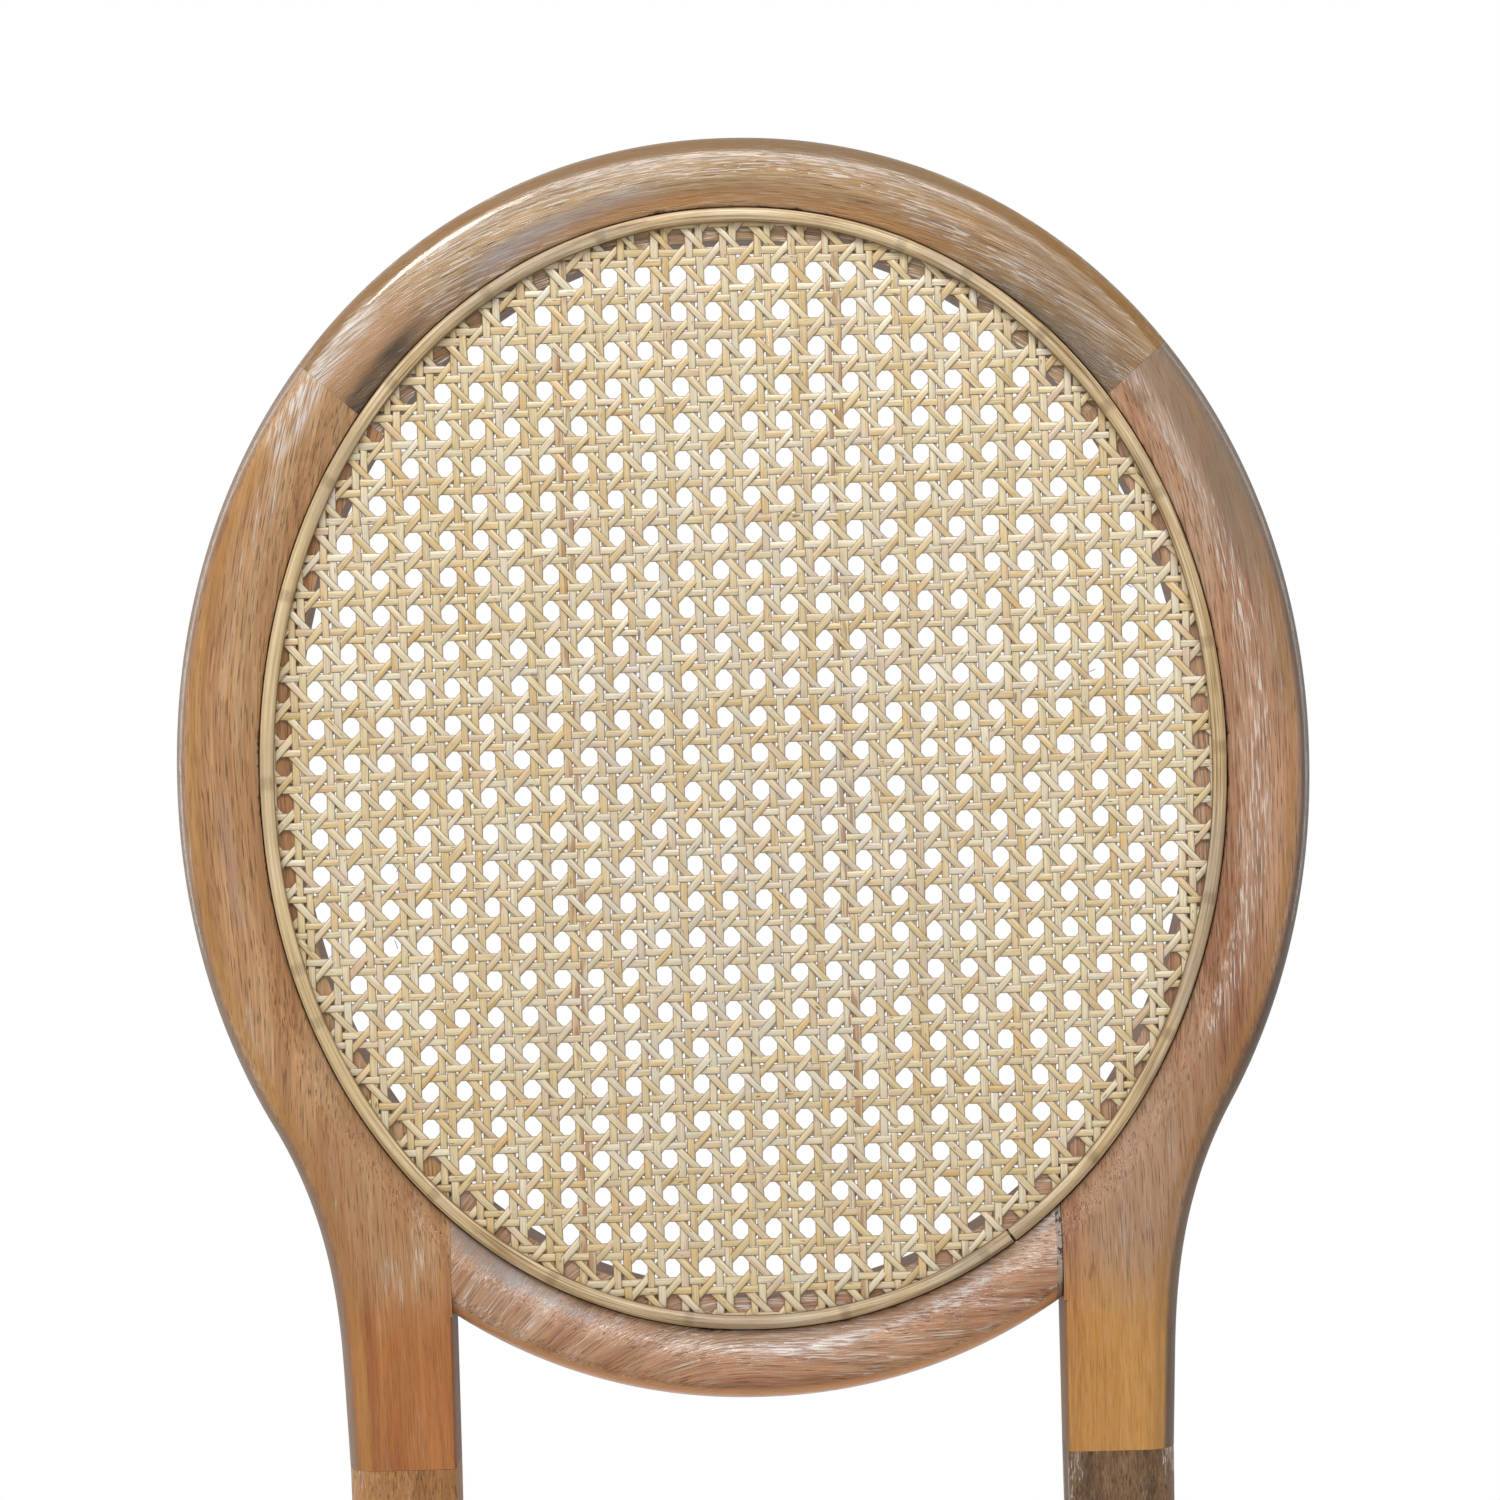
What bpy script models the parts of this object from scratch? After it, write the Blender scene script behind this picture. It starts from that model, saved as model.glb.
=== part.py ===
# Side chair with an oval, cane-filled back on two swept stiles.
# Metres, +Z up. The chair faces -Y. The origin is on the floor, under the middle of the chair.
#
# The pieces of the back are drawn flat, in the plane of the back: X across, Y up the back,
# Z out of its front face, zero at the middle of the oval. An empty leans them all back.
# The pieces of the seat and the legs are drawn upright, with Y = 0 at the rear posts.

import math

import bmesh
import bpy
from mathutils import Matrix, Vector

# Fits
fit_gap = 0.0003
overrun = 0.004

# The oval of the back, to its outer edge
oval_half_width = 0.2041
oval_half_height = 0.2271
oval_power = 2.06
frame_thickness = 0.028
front_round = 0.009
rear_round = 0.006
arris = 0.0015

# Face of the frame, from its outer edge in to the outer edge of the cane's spline
side_face_width = 0.0304
top_face_width = 0.0255
cane_power = 2.06
cove_width = 0.010
cove_depth = 0.004
groove_width = 0.005
groove_depth = 0.006
ledge_width = 0.0063
ledge_drop = 0.002

# Stiles
crest_joint_angle = math.radians(40.8)
crest_joint_lean = math.radians(41.5)
sweep_start_angle = math.radians(-32.5)
sweep_end_width = 0.1503
sweep_end_drop = 0.2174
sweep_taper = math.radians(2.2)
sweep_upper_handle = 0.0389
sweep_lower_handle = 0.0273
stile_inner_width = 0.110
stile_drop = 0.2482

# Cane panel: a flat net of eight-sided gaps, with one gap for each two rows of the weave
weave_pitch_across = 0.0122
weave_pitch_up = 0.0132
net_rows_share = 2
gap_width_share = 0.5
cane_thickness = 0.0016
rim_thickness = 0.0010
net_margin = 0.0012

# Spline of round reed, with one butt joint at the lower right
spline_head_rise = 0.0026
spline_overhang = 0.0016
spline_butt_angle = math.radians(-58)
spline_butt_gap = 0.0006

# Dowels of the back
dowel_diameter = 0.008
dowel_length = 0.036
dowel_depth_from_middle = 0.004
crest_dowel_insets = (0.011, 0.025)
rail_dowel_insets = (0.0096, 0.0271)
post_dowel_insets = (0.011, 0.028)

# Lean of the back and the run of the rear legs
back_recline = math.radians(11)
post_rise = 0.0768
knee_rise = 0.010
upper_bend = 0.025
lower_bend = 0.030
leg_splay = math.radians(10)
post_depth = 0.034
post_width = 0.037
post_step = 0.0005
foot_width = 0.029
foot_depth = 0.027
post_round = 0.005

# Seat frame
rail_top = 0.440
rail_height = 0.060
rail_thickness = 0.022
rail_round = 0.003
rear_rail_setback = 0.004
seat_depth = 0.405
front_leg_spread = 0.205
leg_block = 0.046
leg_block_round = 0.002
leg_block_drop = 0.004
front_bow = 0.029
side_bow = 0.006
rail_inset = 0.0015
tenon_length = 0.013
tenon_thickness = 0.010
tenon_height = 0.040
corner_block_reach = 0.050
corner_block_height = 0.030

# Front legs, turned below the square block
turned_shares = (
    (0.000, 0.50), (0.022, 0.50), (0.030, 0.82), (0.052, 0.82), (0.062, 0.56),
    (0.084, 0.60), (0.096, 0.90), (0.116, 0.90), (0.128, 0.78), (0.820, 0.50),
    (0.832, 0.64), (0.852, 0.64), (0.864, 0.48), (0.925, 0.60), (0.960, 0.54), (1.000, 0.42),
)
flute_count = 12
flute_top_share = 0.150
flute_end_share = 0.795
flute_top_radius = 0.0028
flute_end_radius = 0.0017

# Floor glides
glide_height = 0.003
glide_radius_share = 0.36
glide_foot_share = 0.8

# Upholstered seat
deck_thickness = 0.012
cover_thickness = 0.0015
pad_inset = 0.006
pad_side_height = 0.034
pad_crown = 0.016
pad_draw_in = 0.003
pad_corner = 0.030
front_run_shares = (0, 0.5, 1)
corner_run_shares = (0.33, 0.67)
side_run_shares = (0.35, 0.75)
bulge_height_share = 0.7
# Each ring over the top: its size, its rise and how far it leaves the outline for a plain oval
crown_ring_shares = ((0.93, 0.36, 0.1), (0.70, 0.80, 1), (0.22, 1, 1))
crown_power = 2.7
post_clearance = 0.0065
notch_point_spacing = 0.002
foam_clearance = 0.006
welt_radius = 0.0025
dust_cloth_thickness = 0.001
cloth_clearance = 0.003

# Screws that hold the seat deck on the corner blocks
screw_radius = 0.002
screw_head_radius = 0.0042
screw_head_height = 0.0025
screw_bite = 0.008

# Numbers of steps
cove_steps = 3
flute_sides = 6
halvings = 48
oval_steps = 72
sweep_steps = 8
bow_steps = 8
turned_steps = 20
round_sides = 10
glide_sides = 16
corner_steps = 3

cane_half_width = oval_half_width - side_face_width
cane_half_height = oval_half_height - top_face_width
post_inner_width = stile_inner_width + post_step
post_outer_width = post_inner_width + post_width
half_thickness = frame_thickness / 2
face_lip = half_thickness - cove_depth
ledge_level = face_lip - ledge_drop
groove_floor = ledge_level - groove_depth
opening_offset = groove_width + ledge_width
rail_bottom = rail_top - rail_height
knee_height = rail_top + knee_rise
back_reach = post_rise + stile_drop
leg_foot = glide_height + fit_gap
dowel_radius = dowel_diameter / 2
front_line = -seat_depth
half_block = leg_block / 2
post_front = -post_depth / 2


for old in list(bpy.data.objects):
    bpy.data.objects.remove(old, do_unlink=True)

chair_parts = bpy.data.collections.new("cane_back_chair")
cutting_tools = bpy.data.collections.new("cutting_shapes")
bpy.context.scene.collection.children.link(chair_parts)
bpy.context.scene.collection.children.link(cutting_tools)


def new_finish(name, colour, roughness, metallic=0.0):
    finish = bpy.data.materials.new(name)
    finish.use_nodes = True
    shader = finish.node_tree.nodes["Principled BSDF"]
    shader.inputs["Base Color"].default_value = (*colour, 1.0)
    shader.inputs["Roughness"].default_value = roughness
    shader.inputs["Metallic"].default_value = metallic
    finish.diffuse_color = (*colour, 1.0)
    return finish


wood_colours = {
    "crest_rail": (0.40, 0.25, 0.12),
    "stile": (0.43, 0.22, 0.11),
    "lower_back_rail": (0.42, 0.22, 0.12),
    "leg": (0.36, 0.21, 0.10),
    "rail": (0.38, 0.22, 0.11),
    "dowel": (0.62, 0.46, 0.26),
    "block": (0.52, 0.37, 0.20),
}


def wood(name, kind):
    return new_finish(name + "_wood", wood_colours[kind], 0.45)


def place(name, shape, finish, parent, tool=False):
    piece = bpy.data.objects.new(name, shape)
    (cutting_tools if tool else chair_parts).objects.link(piece)
    piece.parent = parent
    if tool:
        piece.hide_render = True
        piece.display_type = "WIRE"
    else:
        shape.materials.clear()
        shape.materials.append(finish)
        shape.shade_smooth()
        shape.set_sharp_from_angle(angle=math.radians(32))
    return piece


def new_empty(name, parent=None):
    empty = bpy.data.objects.new(name, None)
    bpy.context.scene.collection.objects.link(empty)
    empty.parent = parent
    return empty


chair = new_empty("chair_frame")
back_plane = new_empty("back_plane", chair)
back_plane.rotation_euler.x = math.pi / 2 - back_recline
back_plane.location = (0, back_reach * math.sin(back_recline),
                       knee_height + back_reach * math.cos(back_recline))


def mesh_from_curve(drawing):
    """Turn a curve into a mesh with welded caps and remove the curve."""
    sketch = bpy.data.objects.new(drawing.name, drawing)
    bpy.context.scene.collection.objects.link(sketch)
    graph = bpy.context.evaluated_depsgraph_get()
    shape = bpy.data.meshes.new_from_object(sketch.evaluated_get(graph))
    bpy.data.objects.remove(sketch)
    bpy.data.curves.remove(drawing)
    work = bmesh.new()
    work.from_mesh(shape)
    bmesh.ops.remove_doubles(work, verts=work.verts, dist=fit_gap / 100)
    bmesh.ops.recalc_face_normals(work, faces=work.faces)
    work.to_mesh(shape)
    work.free()
    return shape


def add_poly(drawing, points, closed=True):
    line = drawing.splines.new("POLY")
    line.points.add(len(points) - 1)
    for knot, point in zip(line.points, points):
        knot.co = (point[0], point[1], point[2] if len(point) > 2 else 0, 1)
    line.use_cyclic_u = closed


def flat_solid(name, outlines, low, high):
    """A flat outline, with any holes, as a plate between two heights."""
    drawing = bpy.data.curves.new(name, "CURVE")
    drawing.dimensions = "2D"
    drawing.fill_mode = "BOTH"
    drawing.extrude = (high - low) / 2
    for outline in outlines:
        add_poly(drawing, outline)
    shape = mesh_from_curve(drawing)
    shape.transform(Matrix.Translation((0, 0, (low + high) / 2)))
    return shape


def swept_solid(name, path, profile, closed=True):
    """A closed profile, given as (out, up) points, carried along a flat path."""
    section = bpy.data.curves.new(name + "_section", "CURVE")
    section.dimensions = "2D"
    add_poly(section, profile)
    section_object = bpy.data.objects.new(name + "_section", section)
    bpy.context.scene.collection.objects.link(section_object)
    drawing = bpy.data.curves.new(name, "CURVE")
    drawing.dimensions = "3D"
    drawing.fill_mode = "FULL"
    drawing.twist_mode = "Z_UP"
    drawing.bevel_mode = "OBJECT"
    drawing.bevel_object = section_object
    drawing.use_fill_caps = not closed
    add_poly(drawing, path, closed)
    shape = mesh_from_curve(drawing)
    bpy.data.objects.remove(section_object)
    bpy.data.curves.remove(section)
    return shape


def loft(name, rings):
    """A closed skin through rings of equal counts of points."""
    work = bmesh.new()
    layers = [[work.verts.new(point) for point in ring] for ring in rings]
    for lower, upper in zip(layers, layers[1:]):
        for index in range(len(lower)):
            after = (index + 1) % len(lower)
            work.faces.new((lower[index], lower[after], upper[after], upper[index]))
    work.faces.new(layers[0])
    work.faces.new(layers[-1])
    bmesh.ops.recalc_face_normals(work, faces=work.faces)
    shape = bpy.data.meshes.new(name)
    work.to_mesh(shape)
    work.free()
    return shape


def bar(name, size, turn=0):
    """A box whose size is (along X, along Y, along Z), turned about Z."""
    work = bmesh.new()
    bmesh.ops.create_cube(work, size=1)
    work.transform(Matrix.Rotation(turn, 4, "Z") @ Matrix.Diagonal((*size, 1)))
    shape = bpy.data.meshes.new(name)
    work.to_mesh(shape)
    work.free()
    return shape


def rod(name, radius, start, end, sides=round_sides, end_radius=None):
    """A round rod from one point to another."""
    start = Vector(start)
    along = Vector(end) - start
    work = bmesh.new()
    bmesh.ops.create_cone(work, cap_ends=True, segments=sides, radius1=radius,
                          radius2=radius if end_radius is None else end_radius,
                          depth=along.length)
    turn = along.to_track_quat("Z", "Y").to_matrix().to_4x4()
    work.transform(Matrix.Translation(start + along / 2) @ turn)
    shape = bpy.data.meshes.new(name)
    work.to_mesh(shape)
    work.free()
    return shape


def combine(piece, tool, operation="DIFFERENCE"):
    step = piece.modifiers.new(tool.name, "BOOLEAN")
    step.operation = operation
    step.solver = "EXACT"
    step.object = tool


def round_edges(shape, wanted, radius, segments):
    """Round the edges of a mesh that a test picks."""
    work = bmesh.new()
    work.from_mesh(shape)
    bmesh.ops.dissolve_limit(work, angle_limit=math.radians(0.05), verts=[],
                             edges=work.edges, use_dissolve_boundaries=False)
    edges = [edge for edge in work.edges if wanted(edge)]
    bmesh.ops.bevel(work, geom=edges, offset=radius, offset_type="OFFSET", segments=segments,
                    profile=0.5, affect="EDGES", clamp_overlap=True)
    work.to_mesh(shape)
    work.free()


def oval_point(half_width, half_height, power, angle):
    across = math.cos(angle)
    up = math.sin(angle)
    return Vector((half_width * math.copysign(abs(across) ** (2 / power), across),
                   half_height * math.copysign(abs(up) ** (2 / power), up)))


def outer_oval(angle):
    return oval_point(oval_half_width, oval_half_height, oval_power, angle)


def cane_oval(angle, offset=0):
    """A point at a set distance outside the inner oval."""
    point = oval_point(cane_half_width, cane_half_height, cane_power, angle)
    slope = cane_power - 1
    normal = Vector((math.copysign(abs(point.x) ** slope, point.x) / cane_half_width ** cane_power,
                     math.copysign(abs(point.y) ** slope, point.y) / cane_half_height ** cane_power))
    return point + normal.normalized() * offset


def crossing(measure, low, high):
    """The value between low and high where a rising or falling measure passes zero."""
    falls = measure(low) > 0
    for _ in range(halvings):
        middle = (low + high) / 2
        if (measure(middle) > 0) == falls:
            low = middle
        else:
            high = middle
    return (low + high) / 2


def arc_angles(start, end):
    """Angles from start to end, with every whole oval step in between."""
    step = 2 * math.pi / oval_steps
    first = math.floor(min(start, end) / step) + 1
    last = math.ceil(max(start, end) / step) - 1
    inner = [index * step for index in range(first, last + 1)]
    inner = [angle for angle in inner if abs(angle - start) > step / 4 and abs(angle - end) > step / 4]
    if end < start:
        inner.reverse()
    return [start, *inner, end]


def mirrored(points):
    return [Vector((-point[0], *point[1:])) for point in reversed(points)]


# The inner edge of each blank of the back lies inside the opening, where the router clears it
rough_offset = -(opening_offset + overrun)
joint_across = Vector((math.cos(crest_joint_lean), math.sin(crest_joint_lean)))
joint_along = Vector((-joint_across.y, joint_across.x))
joint_point = outer_oval(crest_joint_angle)
inner_joint_angle = crossing(
    lambda angle: (cane_oval(angle, rough_offset) - joint_point).dot(joint_along),
    crest_joint_angle - math.pi / 6, crest_joint_angle + math.pi / 6)
inner_joint_point = cane_oval(inner_joint_angle, rough_offset)
half_gap = joint_along * fit_gap / 2

lower_corner = outer_oval(-math.acos((stile_inner_width / oval_half_width) ** (oval_power / 2)))
sweep_start = outer_oval(sweep_start_angle)
sweep_next = outer_oval(sweep_start_angle - math.radians(0.1))
sweep_direction = (sweep_next - sweep_start).normalized()
sweep_end = Vector((sweep_end_width, -sweep_end_drop))
taper_direction = Vector((-math.sin(sweep_taper), -math.cos(sweep_taper)))
stile_outer_width = sweep_end_width - (stile_drop - sweep_end_drop) * math.tan(sweep_taper)


def sweep_point(share):
    """The S-curve from the oval down to the straight of the stile."""
    first = sweep_start
    second = sweep_start + sweep_direction * sweep_upper_handle
    third = sweep_end - taper_direction * sweep_lower_handle
    rest = 1 - share
    return (first * rest ** 3 + second * 3 * rest ** 2 * share
            + third * 3 * rest * share ** 2 + sweep_end * share ** 3)


def blank_of_back(name, outer_run, inner_run, plain_run=()):
    """A sawn blank of the back, with its outer edges rounded front and rear."""
    shape = flat_solid(name, [[*outer_run, *inner_run]], -half_thickness, half_thickness)
    touch = fit_gap / 10

    def on_run(edge, run, level):
        if any(abs(corner.co.z - level) > touch for corner in edge.verts):
            return False
        return all(any((corner.co.xy - point).length < touch for point in run)
                   for corner in edge.verts)

    round_edges(shape, lambda edge: on_run(edge, outer_run, half_thickness), front_round, 4)
    round_edges(shape, lambda edge: on_run(edge, outer_run, -half_thickness), rear_round, 2)
    for level in (half_thickness, -half_thickness):
        if plain_run:
            round_edges(shape, lambda edge: on_run(edge, plain_run, level), arris, 1)
    return shape


def build_back():
    crest_outer = [joint_point + half_gap,
                   *[outer_oval(angle) for angle in
                     arc_angles(crest_joint_angle, math.pi - crest_joint_angle)[1:-1]]]
    crest_outer.append(mirrored([crest_outer[0]])[0])
    crest_inner = [cane_oval(angle, rough_offset) for angle in
                   arc_angles(math.pi - inner_joint_angle, inner_joint_angle)[1:-1]]
    inner_corner = inner_joint_point + half_gap
    crest_inner = [mirrored([inner_corner])[0], *crest_inner, inner_corner]
    crest = place("crest_rail", blank_of_back("crest_rail", crest_outer, crest_inner),
                  wood("crest_rail", "crest_rail"), back_plane)

    stile_outer = [joint_point - half_gap,
                   *[outer_oval(angle) for angle in
                     arc_angles(crest_joint_angle, sweep_start_angle)[1:]],
                   *[sweep_point(index / sweep_steps) for index in range(1, sweep_steps + 1)],
                   Vector((stile_outer_width, -stile_drop))]
    rough_stile_angle = crossing(lambda angle: cane_oval(angle, rough_offset).x - stile_inner_width,
                                 -math.pi / 2, 0)
    stile_edge = [Vector((stile_inner_width, -stile_drop)), Vector((stile_inner_width, lower_corner.y))]
    stile_inner = [*stile_edge,
                   *[cane_oval(angle, rough_offset) for angle in
                     arc_angles(rough_stile_angle, inner_joint_angle)[:-1]],
                   inner_joint_point - half_gap]
    stiles = {}
    for side, flip in (("right", False), ("left", True)):
        runs = [stile_outer, stile_inner, stile_edge]
        if flip:
            runs = [mirrored(run) for run in runs]
        name = "stile_" + side
        stiles[side] = place(name, blank_of_back(name, *runs), wood(name, "stile"), back_plane)

    rail_end = stile_inner_width - fit_gap
    outer_end = -math.acos((rail_end / oval_half_width) ** (oval_power / 2))
    rough_end = crossing(lambda angle: cane_oval(angle, rough_offset).x - rail_end, -math.pi / 2, 0)
    lower_outer = [outer_oval(angle) for angle in arc_angles(-math.pi - outer_end, outer_end)]
    lower_inner = [cane_oval(angle, rough_offset) for angle in
                   arc_angles(rough_end, -math.pi - rough_end)]
    lower = place("lower_back_rail", blank_of_back("lower_back_rail", lower_outer, lower_inner),
                  wood("lower_back_rail", "lower_back_rail"), back_plane)

    path = [cane_oval(2 * math.pi * index / oval_steps) for index in range(oval_steps)]
    cove_radius = (cove_width ** 2 + cove_depth ** 2) / (2 * cove_depth)
    cove = [(cove_width * share, face_lip + cove_radius
             - math.sqrt(cove_radius ** 2 - (cove_width * share) ** 2))
            for share in [step / cove_steps for step in range(cove_steps + 1)]]
    above = half_thickness + overrun
    below = -half_thickness - overrun
    router_profile = [
        (-opening_offset - 2 * overrun, below), (-opening_offset, below),
        (-opening_offset, ledge_level), (-groove_width, ledge_level),
        (-groove_width, groove_floor), (0, groove_floor), *cove,
        (cove_width, above), (-opening_offset - 2 * overrun, above)]
    router = place("routed_opening", swept_solid("routed_opening", path, router_profile),
                   None, back_plane, tool=True)
    for piece in (crest, stiles["left"], stiles["right"], lower):
        combine(piece, router)
    return crest, stiles, lower


def build_spline():
    wall = -fit_gap
    tongue = -groove_width + 2 * fit_gap + rim_thickness + fit_gap
    floor = groove_floor + fit_gap
    neck = ledge_level + cane_thickness + 2 * fit_gap
    shoulder = neck + spline_head_rise / 3
    crown = neck + spline_head_rise
    inner = tongue - spline_overhang
    middle = (inner + wall) / 2
    profile = [(wall, floor), (wall, shoulder), ((wall + middle) / 2, crown),
               ((inner + middle) / 2, crown), (inner, shoulder), (tongue, neck), (tongue, floor)]
    half_butt = spline_butt_gap / (2 * cane_half_height)
    angles = arc_angles(spline_butt_angle + half_butt, spline_butt_angle - half_butt + 2 * math.pi)
    path = [cane_oval(angle) for angle in angles]
    shape = swept_solid("cane_spline", path, profile, closed=False)
    place("cane_spline", shape, new_finish("reed", (0.45, 0.34, 0.18), 0.4), back_plane)


def build_cane():
    low = ledge_level + fit_gap
    high = low + cane_thickness
    rim_inner = -groove_width + fit_gap
    rim_outer = rim_inner + rim_thickness
    edge = [cane_oval(2 * math.pi * index / oval_steps, rim_outer) for index in range(oval_steps)]
    across = weave_pitch_across * net_rows_share
    up = weave_pitch_up * net_rows_share
    half_gap_width = across * gap_width_share / 2
    half_gap_height = up * gap_width_share / 2
    corner = math.tan(math.pi / 8)
    eight = [(1, -corner), (1, corner), (corner, 1), (-corner, 1),
             (-1, corner), (-1, -corner), (-corner, -1), (corner, -1)]
    reach_across = cane_half_width - opening_offset + ledge_width - net_margin
    reach_up = cane_half_height - opening_offset + ledge_width - net_margin
    gaps = []
    columns = math.ceil(reach_across / across)
    rows = math.ceil(reach_up / up)
    for row in range(-rows, rows + 1):
        for column in range(-columns, columns + 1):
            corners = [Vector((column * across + half_gap_width * x, row * up + half_gap_height * y))
                       for x, y in eight]
            if all(abs(point.x / reach_across) ** cane_power
                   + abs(point.y / reach_up) ** cane_power < 1 for point in corners):
                gaps.append(corners)
    print("cane panel gaps:", len(gaps))
    sheet = flat_solid("cane_panel", [edge, *gaps], low, high)
    panel = place("cane_panel", sheet, new_finish("cane", (0.78, 0.62, 0.34), 0.5), back_plane)
    rim_profile = [(rim_inner, groove_floor + fit_gap), (rim_outer - fit_gap / 2, groove_floor + fit_gap),
                   (rim_outer - fit_gap / 2, (low + high) / 2), (rim_inner, (low + high) / 2)]
    path = [cane_oval(2 * math.pi * index / oval_steps) for index in range(oval_steps)]
    rim = place("cane_rim", swept_solid("cane_rim", path, rim_profile), None, back_plane, tool=True)
    combine(panel, rim, "UNION")


def add_dowel(name, start, end, pieces):
    """A beech dowel in the plane of the back, and its holes in the pieces that it joins."""
    start = Vector(start)
    end = Vector(end)
    slack = (end - start).normalized() * fit_gap
    place(name, rod(name, dowel_radius, start, end), wood(name, "dowel"), back_plane)
    hole_name = name + "_hole"
    hole = place(hole_name, rod(hole_name, dowel_radius + fit_gap, start - slack, end + slack),
                 None, back_plane, tool=True)
    for piece in pieces:
        combine(piece, hole)


def build_back_dowels(crest, stiles, lower, legs):
    level = -dowel_depth_from_middle
    half_length = dowel_length / 2
    for side, sign in (("right", 1), ("left", -1)):
        for number, inset in enumerate(crest_dowel_insets, 1):
            middle = joint_point - joint_across * inset
            ends = [middle + joint_along * half_length, middle - joint_along * half_length]
            add_dowel(f"crest_dowel_{side}_{number}",
                      *[(sign * end.x, end.y, level) for end in ends], (crest, stiles[side]))
        for number, inset in enumerate(rail_dowel_insets, 1):
            ends = [(sign * (stile_inner_width + reach), lower_corner.y + inset, level)
                    for reach in (half_length, -half_length)]
            add_dowel(f"lower_rail_dowel_{side}_{number}", *ends, (lower, stiles[side]))
        for number, inset in enumerate(post_dowel_insets, 1):
            ends = [(sign * (stile_inner_width + inset), -stile_drop + reach, 0)
                    for reach in (half_length, -half_length)]
            add_dowel(f"post_dowel_{side}_{number}", *ends, (stiles[side], legs[side]))


def post_ring(sign, place_yz, tilt, inner, outer, depth, rounds):
    """A rounded rectangle across a rear leg; rounds are (outer front, outer rear, inner)."""
    front = depth / 2
    corners = ((outer, front, rounds[0], 0), (outer, -front, rounds[1], -90),
               (inner, -front, rounds[2], -180), (inner, front, rounds[2], -270))
    ring = []
    for across, forward, radius, start in corners:
        centre = Vector((across - math.copysign(radius, across - (inner + outer) / 2),
                         forward - math.copysign(radius, forward)))
        for step in range(corner_steps + 1):
            angle = math.radians(start + 90 - 90 * step / corner_steps)
            point = centre + Vector((math.cos(angle), math.sin(angle))) * radius
            ring.append(Vector((sign * point.x, place_yz[0] - point.y * math.cos(tilt),
                                place_yz[1] + point.y * math.sin(tilt))))
    return ring


def rear_leg_rings(sign):
    up_back = Vector((math.sin(back_recline), math.cos(back_recline)))
    down_leg = Vector((math.sin(leg_splay), -math.cos(leg_splay)))
    knee = Vector((0, knee_height))
    joint = knee + up_back * (post_rise - fit_gap)
    upper = knee + up_back * upper_bend
    rail_line = Vector((0, rail_top))
    under_rail = Vector((0, rail_bottom))
    bend = Vector((0, rail_bottom - lower_bend))
    lower = bend + down_leg * lower_bend
    foot = Vector((lower.x + (lower.y - leg_foot) * math.tan(leg_splay), leg_foot))
    post = (post_inner_width, post_outer_width, post_depth)
    middle = (post_inner_width + post_outer_width) / 2
    end = (middle - foot_width / 2, middle + foot_width / 2, foot_depth)
    taper = (under_rail.y - lower.y) / (under_rail.y - leg_foot)
    lower_size = [a + (b - a) * taper for a, b in zip(post, end)]
    round_post = (post_round, post_round, arris)
    stations = (
        (joint, back_recline, (stile_inner_width, stile_outer_width, frame_thickness),
         (front_round, rear_round, arris)),
        (upper, back_recline, post, round_post),
        ((upper + knee * 2 + rail_line) / 4, back_recline / 2, post, round_post),
        (rail_line, 0, post, round_post),
        (under_rail, 0, post, round_post),
        ((under_rail + bend * 2 + lower) / 4, -leg_splay / 2, post, round_post),
        (lower, -leg_splay, lower_size, round_post),
        (foot, 0, end, round_post),
    )
    return [post_ring(sign, centre, tilt, *size, rounds) for centre, tilt, size, rounds in stations], foot


def build_rear_legs():
    legs = {}
    for side, sign in (("right", 1), ("left", -1)):
        name = "rear_leg_" + side
        rings, foot = rear_leg_rings(sign)
        legs[side] = place(name, loft(name, rings), wood(name, "leg"), chair)
        middle = (post_inner_width + post_outer_width) / 2
        add_glide("floor_glide_rear_" + side, sign * middle, foot.x, foot_width * glide_radius_share)
    return legs


def add_glide(name, across, along, radius):
    shape = rod(name, radius - glide_height / 3, (across, along, 0), (across, along, glide_height),
                sides=glide_sides, end_radius=radius)
    place(name, shape, new_finish(name + "_nylon", (0.05, 0.045, 0.04), 0.5), chair)


def turned_solid(name, profile, steps):
    """A profile of (radius, height) points, top to bottom, turned about Z."""
    work = bmesh.new()
    knots = [work.verts.new((radius, 0, height)) for radius, height in profile]
    for knot, after in zip(knots, knots[1:]):
        work.edges.new((knot, after))
    line = bpy.data.meshes.new(name + "_profile")
    work.to_mesh(line)
    work.free()
    sketch = bpy.data.objects.new(name + "_profile", line)
    bpy.context.scene.collection.objects.link(sketch)
    turn = sketch.modifiers.new("turn", "SCREW")
    turn.steps = steps
    turn.render_steps = steps
    turn.use_merge_vertices = True
    turn.merge_threshold = fit_gap / 10
    graph = bpy.context.evaluated_depsgraph_get()
    shape = bpy.data.meshes.new_from_object(sketch.evaluated_get(graph))
    bpy.data.objects.remove(sketch)
    bpy.data.meshes.remove(line)
    return shape


def gathered(name, shapes):
    """Several loose shapes as one mesh, for a cutter."""
    work = bmesh.new()
    for shape in shapes:
        work.from_mesh(shape)
        bpy.data.meshes.remove(shape)
    whole = bpy.data.meshes.new(name)
    work.to_mesh(whole)
    work.free()
    return whole


def turned_radius(share):
    for (upper, wide), (lower, narrow) in zip(turned_shares, turned_shares[1:]):
        if upper <= share <= lower:
            return half_block * (wide + (narrow - wide) * (share - upper) / (lower - upper))
    return half_block * turned_shares[-1][1]


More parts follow.
